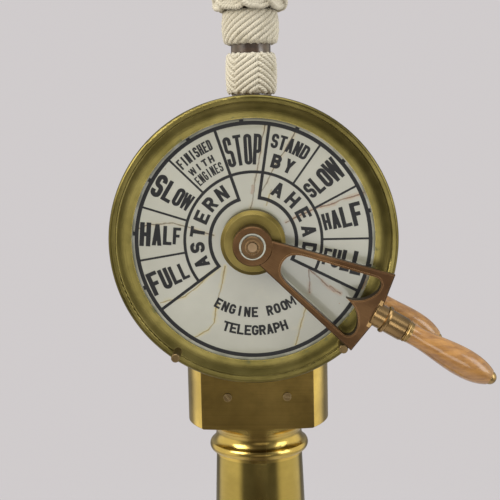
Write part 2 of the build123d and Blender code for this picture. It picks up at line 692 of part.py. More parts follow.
def make_nut():
    with BuildPart() as nut:
        with BuildSketch(facing(BOSS_FRONT + 2)):
            Circle(NUT_R)
        extrude(amount=7)
        chamfer(nut.edges().group_by(Axis.Y)[0], length=1.0)
        with BuildSketch(facing(BOSS_FRONT + 1)):
            Circle(STUD_R)
        extrude(amount=20, mode=Mode.SUBTRACT)
        with BuildSketch(facing(BOSS_FRONT + 6.5)):
            Circle(NUT_RECESS_R)
        extrude(amount=5, mode=Mode.SUBTRACT)
    return nut.part


STAR_TEETH = 9             # one for each order on the dial
ORDER_PITCH = 27.0


def make_star_wheel(angle):
    """Disc with one tooth for each order, which trips the bell hammer."""
    with BuildPart() as star:
        with BuildSketch(facing(STRIKER_BACK, angle)):
            Circle(18)
            for index in range(STAR_TEETH):
                with Locations(Location((0, 0, 0), (0, 0, 90 + ORDER_PITCH * index))):
                    Polygon((16, -3.4), (23.4, -0.8), (23.4, 0.8), (16, 3.4), align=None)
            Circle(SHAFT_R, mode=Mode.SUBTRACT)
        extrude(amount=STRIKER_FRONT - STRIKER_BACK)
    return star.part


ADDENDUM = 2.0
DEDENDUM = 2.6
TOOTH_HALF = 1.95          # at the pitch line, well under a quarter of the pitch
FLANK_SLOPE = math.tan(math.radians(18))


def make_bevel(plane, radius, teeth, face, hub_r, hub_end, bore, phase):
    """Mitre gear on the 45 degree cone whose tip is the plane's origin."""
    root = (radius - DEDENDUM / math.sqrt(2), radius + DEDENDUM / math.sqrt(2))
    slant = radius * math.sqrt(2)
    toe = (slant - face) / slant
    with BuildPart() as tooth:
        for scale in (toe, 1.0):
            centre = radius * scale
            section = Plane(origin=(centre, 0, centre), x_dir=(0, -1, 0), z_dir=(1, 0, 1))
            with BuildSketch(section):
                with BuildLine():
                    low = -(DEDENDUM + 0.4) * scale
                    high = ADDENDUM * scale
                    wide = (TOOTH_HALF + (DEDENDUM + 0.4) * FLANK_SLOPE) * scale
                    thin = (TOOTH_HALF - ADDENDUM * FLANK_SLOPE) * scale
                    Polyline((-wide, low), (wide, low), (thin, high), (-thin, high), close=True)
                make_face()
        loft()
    with BuildPart() as gear:
        with BuildSketch(Plane.XZ):
            with BuildLine():
                Polyline((bore, toe * root[1]), (toe * root[0], toe * root[1]), root,
                         (root[0] - 3, root[1] + 3), (hub_r, root[1] + 3), (hub_r, hub_end),
                         (bore, hub_end), close=True)
            make_face()
        revolve(axis=Axis.Z)
        with PolarLocations(0, teeth, start_angle=phase):
            add(tooth.part)
    with BuildPart() as placed:
        with Locations(plane.location):
            add(gear.part)
    return placed.part


gear_on_front = Plane(origin=APEX, x_dir=(1, 0, 0), z_dir=(0, -1, 0))
gear_on_rear = Plane(origin=APEX, x_dir=(1, 0, 0), z_dir=(0, 1, 0))
gear_below = Plane(origin=APEX, x_dir=(1, 0, 0), z_dir=(0, 0, -1))
FRONT_SHAFT_END = 22.5
REAR_SHAFT_END = 37.0

SIDES = (
    ("front", FRONT_LEVER_ANGLE, FRONT_SHAFT_END, lambda part: part),
    ("rear", REAR_LEVER_ANGLE, REAR_SHAFT_END, half_turn),
)
for side, angle, shaft_end, place in SIDES:
    lever, handle_plane, handle_axis = make_lever(angle)
    save(f"{side}_lever", place(lever))
    save(f"{side}_handle_stem", place(turned_handle_piece(handle_plane, handle_axis, stem_outline)))
    save(f"{side}_grip", place(turned_handle_piece(handle_plane, handle_axis, grip_outline)))
    save(f"{side}_grip_nut", place(turned_handle_piece(handle_plane, handle_axis, grip_nut_outline)))
    save(f"{side}_shaft", place(make_shaft(angle, shaft_end)))
    save(f"{side}_washer", place(disc_between(BOSS_FRONT, BOSS_FRONT + 2, WASHER_R, STUD_R)))
    save(f"{side}_nut", place(make_nut()))
    save(f"{side}_star_wheel", place(make_star_wheel(angle)))

save("front_bevel_wheel", make_bevel(
    gear_on_front, FRONT_GEAR_R, FRONT_GEAR_TEETH, face=9, hub_r=15, hub_end=57, bore=SHAFT_R,
    phase=180 / FRONT_GEAR_TEETH))
save("rear_bevel_wheel", make_bevel(
    gear_on_rear, REAR_GEAR_R, REAR_GEAR_TEETH, face=11, hub_r=18, hub_end=57, bore=SHAFT_R,
    phase=180 / REAR_GEAR_TEETH))
save("inner_pinion", make_bevel(
    gear_below, FRONT_GEAR_R, FRONT_GEAR_TEETH, face=9, hub_r=14, hub_end=36.5, bore=INNER_DRIVE_R,
    phase=0))
save("outer_pinion", make_bevel(
    gear_below, REAR_GEAR_R, REAR_GEAR_TEETH, face=11, hub_r=18, hub_end=66, bore=OUTER_DRIVE_R,
    phase=0))


# ---------------------------------------------------------------- vertical shafts and their bearings
OUTER_DRIVE_TOP = AXIS_Z - 38.0
inner_shaft = turned_upright([
    (0, INNER_DRIVE_FOOT), (INNER_END_R, INNER_DRIVE_FOOT),
    (INNER_END_R, INNER_DRIVE_FOOT + DRIVE_END_LENGTH), (INNER_DRIVE_R, INNER_DRIVE_FOOT + DRIVE_END_LENGTH),
    (INNER_DRIVE_R, AXIS_Z - 23.0), (0, AXIS_Z - 23.0)])
save("inner_shaft", inner_shaft)

outer_shaft = turned_upright([
    (OUTER_DRIVE_BORE, OUTER_DRIVE_FOOT), (OUTER_END_R, OUTER_DRIVE_FOOT),
    (OUTER_END_R, OUTER_DRIVE_FOOT + DRIVE_END_LENGTH), (OUTER_DRIVE_R, OUTER_DRIVE_FOOT + DRIVE_END_LENGTH),
    (OUTER_DRIVE_R, OUTER_DRIVE_TOP), (OUTER_DRIVE_BORE, OUTER_DRIVE_TOP)])
save("outer_shaft", outer_shaft)

with BuildPart() as shaft_bushes:
    for height in (OUTER_DRIVE_FOOT, OUTER_DRIVE_TOP - 20):
        with BuildSketch(Plane.XY.offset(height)):
            Circle(OUTER_DRIVE_BORE)
            Circle(INNER_DRIVE_R + RUNNING_FIT, mode=Mode.SUBTRACT)
        extrude(amount=20)
save("shaft_bushes", shaft_bushes.part)

upper_bearing = turned_upright([
    (OUTER_DRIVE_R + RUNNING_FIT, JOINT_Z - 8), (UPPER_BEARING_R, JOINT_Z - 8),
    (UPPER_BEARING_R, JOINT_Z + SPIGOT_H), (NECK_BORE_R - 1, JOINT_Z + SPIGOT_H),
    (NECK_BORE_R - 1, JOINT_Z + SPIGOT_H + 5), (18, JOINT_Z + SPIGOT_H + 5),
    (18, JOINT_Z + SPIGOT_H + 16), (OUTER_DRIVE_R + RUNNING_FIT, JOINT_Z + SPIGOT_H + 16)])
save("upper_bearing", upper_bearing)

foot_bearing = turned_upright([
    (OUTER_DRIVE_R + RUNNING_FIT, 62), (FOOT_BEARING_R, 62), (FOOT_BEARING_R, WEB_TOP), (36, WEB_TOP),
    (36, WEB_TOP + 6), (18, WEB_TOP + 6), (18, WEB_TOP + 18), (OUTER_DRIVE_R + RUNNING_FIT, WEB_TOP + 18)])
save("foot_bearing", foot_bearing)

# ---------------------------------------------------------------- bells
with BuildPart() as gong:
    with BuildSketch(Plane.YZ):
        with BuildLine():
            Polyline((-GONG_SHOULDER, AXIS_Z + 4), (-GONG_SHOULDER, AXIS_Z + 30))
            ThreePointArc((-GONG_SHOULDER, AXIS_Z + 30), (-64.6, AXIS_Z + 38.4), (-56, AXIS_Z + GONG_R))
            Polyline((-56, AXIS_Z + GONG_R), (-50, AXIS_Z + GONG_R), (-50, AXIS_Z + GONG_R - 2.5))
            Line((-50, AXIS_Z + GONG_R - 2.5), (-56, AXIS_Z + GONG_R - 2.5))
            ThreePointArc((-56, AXIS_Z + GONG_R - 2.5), (-63, AXIS_Z + 36.6), (-65.5, AXIS_Z + 30))
            Polyline((-65.5, AXIS_Z + 30), (-65.5, AXIS_Z + 4), (-GONG_SHOULDER, AXIS_Z + 4))
        make_face()
    revolve(axis=AXIS)
with BuildPart() as front_gong:
    with Locations((GONG_CENTRE[0], 0, GONG_CENTRE[1])):
        add(gong.part)
save("front_gong", front_gong.part)
save("rear_gong", half_turn(front_gong.part))

with BuildPart() as hammer:
    with BuildSketch(facing(STRIKER_BACK)):
        arm(HAMMER_HEAD, HAMMER_PIVOT, 5)
        arm(HAMMER_TAIL, HAMMER_PIVOT, 6)
        with Locations(HAMMER_PIVOT):
            Circle(7.5)
    extrude(amount=STRIKER_FRONT - STRIKER_BACK)
    with BuildSketch(facing(STRIKER_BACK - 2, centre=HAMMER_HEAD)):
        Circle(7)
    extrude(amount=STRIKER_FRONT - STRIKER_BACK + 4)
    with BuildSketch(facing(STRIKER_BACK - 5, centre=HAMMER_PIVOT)):
        Circle(3.5 + RUNNING_FIT)
    extrude(amount=30, mode=Mode.SUBTRACT)
save("front_hammer", hammer.part)
save("rear_hammer", half_turn(hammer.part))

SPRING_R = 5.8
SPRING_WIRE_R = 0.9
SPRING_LENGTH = 14.0
with BuildPart() as hammer_spring:
    with BuildLine() as coil:
        Helix(pitch=2.8, height=SPRING_LENGTH, radius=SPRING_R)
    with BuildSketch(Plane(origin=coil.line @ 0, z_dir=coil.line % 0)):
        Circle(SPRING_WIRE_R)
    sweep(is_frenet=True)
spring_home = facing(STRIKER_FRONT + 2.5, centre=HAMMER_PIVOT)
with BuildPart() as front_spring:
    with Locations(spring_home.location):
        add(hammer_spring.part)
save("front_hammer_spring", front_spring.part)
save("rear_hammer_spring", half_turn(front_spring.part))

# ---------------------------------------------------------------- lamp
LAMP_ANGLE = 215.0


def lamp_piece(points):
    """Turned lamp piece on the spoke at LAMP_ANGLE; points are (distance from lever axis, radius)."""
    turn = math.radians(LAMP_ANGLE)
    spoke = Plane(origin=APEX, x_dir=(math.cos(turn), 0, math.sin(turn)),
                  z_dir=(-math.sin(turn), 0, math.cos(turn)))
    with BuildPart() as piece:
        with BuildSketch(spoke):
            with BuildLine():
                Polyline(points, close=True)
            make_face()
        revolve(axis=Axis(spoke.origin, spoke.x_dir))
    return piece.part


save("lamp_holder", lamp_piece([
    (155.2, 0), (155.2, 22), (151, 22), (151, 15), (124, 15), (122, 13), (122, 9.2), (136, 9.2), (136, 0)]))
save("lamp_bulb", lamp_piece([
    (136, 0), (136, 9), (118, 9), (112, 12), (104, 18), (95, 20.5), (86, 18.6), (79, 12), (76, 5), (75.5, 0)]))


# ---------------------------------------------------------------- rope-bound post
def rope_sleeve(bottom, top, radius, bore, bulge):
    """Plain closed sleeve with the outer shape of a rope binding."""
    with BuildPart() as sleeve:
        with BuildSketch(Plane.XZ):
            with BuildLine():
                Line((bore, bottom), (radius - bulge, bottom))
                ThreePointArc((radius - bulge, bottom), (radius, (bottom + top) / 2), (radius - bulge, top))
                Polyline((radius - bulge, top), (bore, top), (bore, bottom))
            make_face()
        revolve(axis=Axis.Z)
    return sleeve.part


with BuildPart() as rope_post:
    with BuildSketch(Plane.XY.offset(POST_FOOT)):
        Circle(POST_R)
    extrude(amount=POST_TOP - POST_FOOT)
    with BuildSketch(Plane.XY.offset(AXIS_Z + 160)):
        Circle(7.9)
    extrude(amount=POST_FOOT - AXIS_Z - 160)
save("rope_post", rope_post.part)
save("rope_band_lower", rope_sleeve(*LOWER_BAND, bore=POST_R, bulge=2.0))
save("rope_band_upper", rope_sleeve(*UPPER_BAND, bore=POST_R, bulge=2.5))

with BuildPart() as rope_knot:
    with BuildSketch(Plane.XZ):
        with BuildLine():
            Line((POST_R, KNOT[0]), (KNOT[2] - 10, KNOT[0]))
            ThreePointArc((KNOT[2] - 10, KNOT[0]), (KNOT[2], KNOT[0] + 18), (KNOT[2] - 7, KNOT[0] + 36))
            ThreePointArc((KNOT[2] - 7, KNOT[0] + 36), (34, KNOT[1] - 6), (16, KNOT[1]))
            Polyline((16, KNOT[1]), (0, KNOT[1]), (0, POST_TOP), (POST_R, POST_TOP), (POST_R, KNOT[0]))
        make_face()
    revolve(axis=Axis.Z)
save("rope_knot", rope_knot.part)
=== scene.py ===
# %% [markdown]
# # A ship's engine telegraph
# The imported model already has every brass, steel and glass piece in its place. This lesson loads it
# as a fixed frame, gives each piece a finish that looks used, prints the dials, and lays the rope
# work on the post that stands on the drum.

# %% Load the frame
import json
import math

import bmesh
import bpy
from mathutils import Matrix, Vector


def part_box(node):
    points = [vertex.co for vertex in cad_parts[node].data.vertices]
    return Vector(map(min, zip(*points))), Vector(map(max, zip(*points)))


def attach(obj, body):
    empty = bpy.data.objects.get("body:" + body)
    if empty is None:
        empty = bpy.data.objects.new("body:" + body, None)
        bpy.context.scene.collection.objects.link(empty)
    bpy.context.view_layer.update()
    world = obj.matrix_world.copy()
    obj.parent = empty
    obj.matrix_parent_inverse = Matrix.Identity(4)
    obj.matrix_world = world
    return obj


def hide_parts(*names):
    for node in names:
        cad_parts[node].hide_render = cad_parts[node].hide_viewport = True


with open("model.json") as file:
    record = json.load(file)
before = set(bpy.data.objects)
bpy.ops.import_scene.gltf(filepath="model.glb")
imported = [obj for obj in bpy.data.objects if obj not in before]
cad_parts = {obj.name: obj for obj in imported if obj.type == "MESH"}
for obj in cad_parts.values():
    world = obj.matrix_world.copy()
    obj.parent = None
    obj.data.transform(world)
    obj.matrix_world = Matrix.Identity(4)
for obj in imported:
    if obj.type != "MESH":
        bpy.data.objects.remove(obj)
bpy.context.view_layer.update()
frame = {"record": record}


# %% [markdown]
# ## Where things are
# Every position comes from the frame. The lever axis is the joint's own point, and the faces of the
# dial, the post and the rope work are read off the boxes of their nodes.

# %% Places read from the frame
joints = {joint["name"]: joint for joint in frame["record"]["behaviour"]["joints"]}
AXIS_Z = joints["front_lever_swing"]["pos_m"][2]


def low_high(node):
    low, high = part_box(node)
    return Vector(low), Vector(high)


DIAL_FACE = -low_high("front_dial")[0].y       # dial plane, from the centre of the drum
BEZEL_R = low_high("front_bezel")[1].x
BEZEL_WIDTH = 0.028
OPENING_R = BEZEL_R - BEZEL_WIDTH
print("lever axis at", AXIS_Z, "dial face", DIAL_FACE, "bezel radius", BEZEL_R)

# %% [markdown]
# ## Writing shader maths as Python
# A finish is a network of nodes. One small class wraps a socket, so that `1 - mask * 0.5` adds its
# Math nodes by itself. A second class owns the material and makes every other kind of node, with
# its settings first and its sockets after.


# %% A socket that can be added and multiplied
class Value:
    """One output of a node, with ordinary arithmetic."""

    def __init__(self, network, socket):
        self.network = network
        self.socket = socket

    def math(self, operation, *others):
        sockets = dict(enumerate((self, *others)))
        return self.network.node("ShaderNodeMath", {"operation": operation}, sockets)

    def __add__(self, other):
        return self.math("ADD", other)

    def __sub__(self, other):
        return self.math("SUBTRACT", other)

    def __mul__(self, other):
        return self.math("MULTIPLY", other)

    def __rsub__(self, other):
        return self.network.node("ShaderNodeMath", {"operation": "SUBTRACT"}, {0: other, 1: self})

    __radd__ = __add__
    __rmul__ = __mul__

    def clamped(self):
        return self.math("MAXIMUM", 0.0).math("MINIMUM", 1.0)

    def ramp(self, start, end):
        """0 below start, 1 above end, and a smooth rise between; start may be the larger."""
        settings = {"interpolation_type": "SMOOTHSTEP"}
        if start < end:
            sockets = {"Value": self, "From Min": start, "From Max": end}
            return self.network.node("ShaderNodeMapRange", settings, sockets)
        sockets = {"Value": self, "From Min": end, "From Max": start, "To Min": 1.0, "To Max": 0.0}
        return self.network.node("ShaderNodeMapRange", settings, sockets)


class Network:
    """Nodes of one tree, with the place that they are worked out from."""

    def __init__(self, tree, coordinates):
        self.tree = tree
        self.place = self.node("ShaderNodeTexCoord", out=coordinates)
        split = self.node("ShaderNodeSeparateXYZ", sockets={0: self.place}).socket.node
        self.x, self.y, self.z = (Value(self, output) for output in split.outputs)

    def node(self, kind, settings=None, sockets=None, out=0):
        made = self.tree.nodes.new(kind)
        for key, value in (settings or {}).items():
            setattr(made, key, value)
        for key, value in (sockets or {}).items():
            self.feed(made.inputs[key], value)
        return Value(self, made.outputs[out])

    def feed(self, socket, value):
        if isinstance(value, Value):
            self.tree.links.new(value.socket, socket)
        elif isinstance(value, tuple) and len(value) == 3 and socket.type == "RGBA":
            socket.default_value = (*value, 1.0)
        else:
            socket.default_value = value

    def mix(self, factor, first, second):
        return self.node("ShaderNodeMix", {"data_type": "RGBA"}, {0: factor, 6: first, 7: second}, out=2)

    def stretched(self, x=1.0, y=1.0, z=1.0):
        """Object coordinates multiplied along each axis, for grain that runs one way."""
        return self.node("ShaderNodeMapping", sockets={"Vector": self.place, "Scale": (x, y, z)})

    def noise(self, scale, detail=4.0, vector=None, roughness=0.55):
        sockets = {"Vector": vector or self.place, "Scale": scale, "Detail": detail,
                   "Roughness": roughness}
        return self.node("ShaderNodeTexNoise", None, sockets, out="Fac")

    def cells(self, scale, vector=None):
        return self.node("ShaderNodeTexVoronoi", None, {"Vector": vector or self.place, "Scale": scale},
                         out="Distance")


class Finish(Network):
    """A material under construction."""

    def __init__(self, name):
        self.material = bpy.data.materials.new(name)
        self.material.use_nodes = True
        super().__init__(self.material.node_tree, "Object")
        self.shader = self.tree.nodes["Principled BSDF"]

    def set(self, **inputs):
        for key, value in inputs.items():
            self.feed(self.shader.inputs[key.replace("_", " ")], value)

    def bump(self, height, distance, strength=1.0):
        sockets = {"Height": height, "Distance": distance, "Strength": strength}
        self.set(Normal=self.node("ShaderNodeBump", None, sockets))

    def from_axis(self):
        """Distance from the lever axis, for turning marks and the dial."""
        up = self.z - AXIS_Z
        return (self.x * self.x + up * up).math("SQRT")

    def edge_wear_and_highlight(self, radius):
        """1 along sharp edges, where hands and cleaning rub the metal bright, and where a painted
        highlight is laid along the edge.
        """
        soft = self.node("ShaderNodeBevel", {"samples": 4}, {"Radius": radius})
        true = self.node("ShaderNodeNewGeometry", out="Normal")
        same = self.node("ShaderNodeVectorMath", {"operation": "DOT_PRODUCT"}, {0: soft, 1: true},
                         out="Value")
        return same.ramp(0.985, 0.80)


print("shader helpers ready")

# %% [markdown]
# ## Brass that has been polished for a century
# Old brass isn't one colour. It is bright where hands and cloths reach, olive brown where they
# don't, and spotted where salt has sat. The finish mixes three tones by two noises, adds fine lathe
# marks or brushing along the way the piece was worked, and brightens the edges, partly as wear and
# partly as a painted highlight. Some pieces get a lighter zone, which on the column and neck is a
# painted reflection.


# %% A brass finish
def brass(name, dark, middle, bright, marks, tarnish=0.5, gloss=0.34, wear=0.6, grease=None,
          lighter_zone=None, verdigris=None):
    """Worked brass; marks(finish) is the coordinate along which the tool marks repeat.
    wear sets how far the edges are lightened, partly as worn metal and partly as a painted highlight.
    The mask and colour pair after it is a part of the piece painted lighter; on the column and the
    neck that is a painted reflection. verdigris is a mask."""
    finish = Finish(name)
    cloud = finish.noise(6.0, 3.0)
    fine = finish.noise(60.0, 5.0)
    shade = (cloud * 0.7 + fine * 0.3).ramp(0.62, 0.36)
    colour = finish.mix(shade * (0.25 + 0.5 * tarnish), middle, dark)
    polish = finish.noise(15.0, 4.0).ramp(0.38, 0.75)
    colour = finish.mix(polish * (0.42 - 0.3 * tarnish), colour, bright)
    across = finish.node("ShaderNodeCombineXYZ", None, {0: marks(finish) * 2400.0, 1: cloud * 9.0})
    lines = finish.noise(1.0, 3.0, vector=across)
    colour = finish.mix(lines.ramp(0.35, 0.70) * 0.30, colour, dark)
    pits = finish.cells(300.0).ramp(0.15, 0.05) * finish.noise(22.0).ramp(0.56, 0.68)
    colour = finish.mix(pits * 0.75, colour, (0.035, 0.026, 0.014))
    stain = finish.noise(13.0, 8.0, roughness=0.72).ramp(0.60, 0.74)
    colour = finish.mix(stain * 0.5 * tarnish, colour, tuple(0.4 * c for c in dark))
    # Edges lightened toward the bright tone: partly worn metal, partly a painted highlight.
    edges = finish.edge_wear_and_highlight(0.0014)
    colour = finish.mix(edges * wear, colour, bright)
    if grease:
        colour = finish.mix(finish.noise(40.0, 6.0).ramp(0.50, 0.62) * 0.7, colour, grease)
    rough = gloss + cloud * 0.12 + pits * 0.3 + stain * 0.12 - edges * 0.06
    # A zone painted in a lighter tone; on the column and the neck this is a painted reflection.
    if lighter_zone:
        mask, tone = lighter_zone
        zone = mask(finish)
        colour = finish.mix(zone * (0.55 + polish * 0.4), colour, tone)
        rough = rough - zone * 0.10
    if verdigris:
        crust = verdigris(finish) * finish.noise(85.0, 6.0, roughness=0.7).ramp(0.55, 0.70)
        colour = finish.mix(crust * 0.8, colour, (0.11, 0.13, 0.075))
        rough = rough + crust * 0.35
    finish.set(Base_Color=colour, Roughness=rough.clamped(), Metallic=1.0 - (pits * 0.6).clamped())
    finish.bump(lines * 0.5 + fine * 0.2 - pits * 1.2, 0.00010, 0.8)
    return finish


def turned(finish):
    """Lathe marks round the lever axis."""
    return finish.from_axis()


def level(finish):
    """Marks that run level round the pedestal."""
    return finish.z


def brushed_level(finish):
    return finish.z + finish.x * 0.02


def along_lever(finish):
    return finish.x * 0.5 + finish.z * 0.85


def dial_edge(finish):
    """Where the bezel meets the glass, and polish and salt are left behind."""
    return finish.from_axis().ramp(OPENING_R + 0.0060, OPENING_R + 0.0005)


def painted_reflection_sides(finish):
    """Painted reflection: the round sides of the column are painted lighter and its middle darker, a tone
    that stays put as the view moves.
    """
    return finish.x.math("ABSOLUTE").ramp(0.006, 0.028)


def painted_reflection_neck(finish):
    """Painted reflection on the turned collar and the round sides of the neck box, lighter at the sides
    like the column.
    """
    under = finish.z.ramp(COLLAR_TOP + 0.004, COLLAR_TOP - 0.004)
    side = finish.x.math("ABSOLUTE").ramp(NECK_HALF * 0.770, NECK_HALF * 0.782)
    return (under * painted_reflection_sides(finish)).math("MAXIMUM", side)


def handle_turn(node):
    """Direction of a handle in the plane of the dial, from the middle of its grip."""
    low, high = low_high(node)
    middle = (low + high) / 2
    return math.atan2(middle.z - AXIS_Z, middle.x)


def socket_of(node):
    """Mask of the round socket at the end of a lever, found from where its grip lies."""
    turn = handle_turn(node)

    def mask(finish):
        up = finish.z - AXIS_Z
        along = finish.x * math.cos(turn) + up * math.sin(turn)
        beside = (up * math.cos(turn) - finish.x * math.sin(turn)).math("ABSOLUTE")
        return along.ramp(SOCKET_FACE - 0.0006, SOCKET_FACE + 0.0004) * beside.ramp(0.0182, 0.0174)

    return mask


SOCKET_FACE = 0.165               # from the lever axis to the flat of the socket
COLLAR_HEIGHT = 0.045
COLLAR_TOP = low_high("neck_box")[0].z + COLLAR_HEIGHT
NECK_HALF = low_high("neck_box")[1].x
LEVER_TONES = ((0.022, 0.011, 0.005), (0.054, 0.028, 0.013), (0.21, 0.118, 0.052))
SOCKET_TONE = (0.27, 0.175, 0.075)

bezel_brass = brass("bezel_brass", (0.045, 0.036, 0.011), (0.122, 0.099, 0.028), (0.38, 0.31, 0.105),
                    turned, tarnish=0.5, gloss=0.25, wear=0.8, verdigris=dial_edge)
case_brass = brass("case_brass", (0.055, 0.038, 0.011), (0.160, 0.105, 0.027), (0.38, 0.265, 0.085),
                   brushed_level, tarnish=0.7, gloss=0.26, wear=0.6)
# Neck and column carry a painted reflection: lighter round sides and collar, a darker middle.
neck_brass = brass("neck_brass", (0.043, 0.028, 0.008), (0.118, 0.077, 0.020), (0.27, 0.185, 0.055),
                   brushed_level, tarnish=0.6, gloss=0.22, wear=0.6,
                   lighter_zone=(painted_reflection_neck, (0.78, 0.57, 0.16)))
column_brass = brass("column_brass", (0.095, 0.069, 0.019), (0.240, 0.178, 0.050), (0.38, 0.29, 0.090),
                     level, tarnish=0.2, gloss=0.10, wear=0.4,
                     lighter_zone=(painted_reflection_sides, (0.46, 0.35, 0.101)))
lever_front = brass("lever_bronze_front", *LEVER_TONES, along_lever, tarnish=0.4, gloss=0.30, wear=0.55,
                    lighter_zone=(socket_of("front_grip"), SOCKET_TONE))
lever_rear = brass("lever_bronze_rear", *LEVER_TONES, along_lever, tarnish=0.4, gloss=0.30, wear=0.55,
                   lighter_zone=(socket_of("rear_grip"), SOCKET_TONE))
nut_bronze = brass("nut_bronze", (0.020, 0.012, 0.006), (0.052, 0.030, 0.015), (0.22, 0.140, 0.065),
                   turned, tarnish=0.4, gloss=0.26, wear=0.7)
bright_brass = brass("bright_brass", (0.12, 0.074, 0.028), (0.30, 0.195, 0.075), (0.56, 0.41, 0.19),
                     turned, tarnish=0.3, gloss=0.24, wear=0.7)
# The hub's tones are darkened by about a third as painted shade, for the shaded slope of the hub.
hub_brass = brass("hub_brass", (0.060, 0.044, 0.012), (0.130, 0.099, 0.028), (0.38, 0.30, 0.105),
                  turned, tarnish=0.45, gloss=0.34, wear=0.7)
pin_brass = brass("pin_brass", (0.055, 0.036, 0.016), (0.125, 0.084, 0.038), (0.34, 0.25, 0.12),
                  turned, tarnish=0.5, gloss=0.3, wear=0.8)
dull_brass = brass("dull_brass", (0.10, 0.07, 0.02), (0.26, 0.19, 0.07), (0.45, 0.34, 0.13),
                   turned, tarnish=0.8, gloss=0.42, wear=0.4)
gear_brass = brass("gear_brass", (0.18, 0.12, 0.04), (0.46, 0.34, 0.13), (0.70, 0.56, 0.26),
                   turned, tarnish=0.3, gloss=0.26, wear=0.5, grease=(0.05, 0.035, 0.015))
gong_metal = brass("gong_metal", (0.24, 0.17, 0.06), (0.52, 0.40, 0.16), (0.80, 0.66, 0.34),
                   turned, tarnish=0.25, gloss=0.14, wear=0.5)
bearing_bronze = brass("bearing_bronze", (0.16, 0.08, 0.03), (0.36, 0.20, 0.08), (0.60, 0.38, 0.18),
                       level, tarnish=0.4, gloss=0.3, wear=0.5)
print("brass finishes", [f.material.name for f in (bezel_brass, case_brass, column_brass, lever_front)])

# %% [markdown]
# ## Steel, iron, rubber and wood
# The pieces inside are plain workshop materials. Steel gets grinding marks and a few rust freckles,
# the bridges are painted castings, and the grips are varnished hardwood whose rings run along the
# handle.


# %% Finishes of the inner pieces
def steel(name, base, rust=0.35):
    finish = Finish(name)
    grind = finish.noise(900.0, 2.0, vector=finish.stretched(1.0, 0.08, 0.08))
    damp = finish.noise(14.0).ramp(0.45, 0.65)
    freckles = finish.noise(120.0, 6.0, roughness=0.7).ramp(0.60, 0.68) * damp
    colour = finish.mix(finish.noise(30.0).ramp(0.35, 0.7), base, tuple(0.62 * c for c in base))
    colour = finish.mix(freckles * rust, colour, (0.17, 0.06, 0.02))
    finish.set(Base_Color=colour, Metallic=1.0 - freckles * rust,
               Roughness=(0.24 + grind * 0.2 + freckles * 0.4).clamped())
    finish.bump(grind + freckles, 0.00005, 0.6)
    return finish


def painted_iron(name):
    finish = Finish(name)
    grain = finish.noise(220.0, 3.0)
    chips = finish.noise(60.0, 8.0).ramp(0.66, 0.70)
    colour = finish.mix(grain, (0.018, 0.02, 0.02), (0.05, 0.05, 0.046))
    finish.set(Base_Color=finish.mix(chips, colour, (0.12, 0.07, 0.04)), Roughness=0.5 + grain * 0.2)
    finish.bump(grain - chips, 0.0003, 0.5)
    return finish


def black_rubber(name):
    finish = Finish(name)
    dust = finish.noise(50.0, 5.0).ramp(0.45, 0.75)
    finish.set(Base_Color=finish.mix(dust, (0.012, 0.012, 0.012), (0.07, 0.065, 0.055)),
               Roughness=0.62 + dust * 0.2)
    finish.bump(finish.noise(600.0), 0.0001, 0.5)
    return finish


def varnished_wood(name, body_node, dark, light):
    """Hardwood with its grain along the piece's own axis."""
    finish = Finish(name)
    turn = handle_turn(body_node)
    sockets = {"Vector": finish.place, "Rotation": (0.0, turn, 0.0), "Scale": (6.0, 120.0, 120.0)}
    grain = finish.node("ShaderNodeMapping", {"vector_type": "POINT"}, sockets)
    rings = finish.noise(1.0, 6.0, vector=grain, roughness=0.65)
    streak = finish.noise(3.0, 2.0, vector=grain)
    colour = finish.mix(rings.ramp(0.25, 0.72), dark, light)
    colour = finish.mix(streak.ramp(0.52, 0.72) * 0.4, colour, dark)
    worn = finish.noise(35.0, 4.0).ramp(0.55, 0.75)
    colour = finish.mix(worn * 0.35, colour, tuple(min(1.0, 1.3 * c) for c in light))
    finish.set(Base_Color=colour, Roughness=0.30 + worn * 0.22, Coat_Weight=0.5 - worn * 0.3)
    finish.bump(rings, 0.0002, 0.35)
    return finish


def cotton(name):
    finish = Finish(name)
    fibre = finish.noise(1500.0, 3.0)
    soil = finish.noise(38.0, 6.0, roughness=0.65)
    colour = finish.mix(fibre, (0.43, 0.38, 0.28), (0.63, 0.59, 0.48))
    colour = finish.mix(soil.ramp(0.52, 0.78) * 0.6, colour, (0.28, 0.24, 0.14))
    finish.set(Base_Color=colour, Roughness=0.86)
    finish.shader.inputs["Sheen Weight"].default_value = 0.25
    finish.bump(fibre, 0.0003, 0.7)
    return finish


rope_cotton = cotton("rope_cotton")
shaft_steel = steel("shaft_steel", (0.50, 0.49, 0.47))
screw_steel = steel("screw_steel", (0.38, 0.36, 0.32), rust=0.6)
hammer_steel = steel("hammer_steel", (0.22, 0.23, 0.26), rust=0.3)
washer_steel = steel("washer_steel", (0.27, 0.27, 0.225), rust=0.2)
stud_steel = steel("stud_steel", (0.17, 0.115, 0.065), rust=0.3)
bridge_iron = painted_iron("bridge_iron")
seal_rubber = black_rubber("seal_rubber")
grip_front = varnished_wood("grip_wood_front", "front_grip", (0.17, 0.072, 0.016), (0.38, 0.185, 0.043))
grip_rear = varnished_wood("grip_wood_rear", "rear_grip", (0.17, 0.072, 0.016), (0.38, 0.185, 0.043))
post_wood = varnished_wood("post_wood", "rope_post", (0.022, 0.011, 0.005), (0.075, 0.04, 0.018))
print("inner finishes ready")

# %% [markdown]
# ## A cracked glass dial
# The dial is white opal glass that has been knocked. Each crack is a chain of straight runs in the
# plane of the dial, and the shader measures the distance to the nearest run after shaking the
# coordinates a little, so a crack wanders like a real one. Rust and old oil have crept in along it.

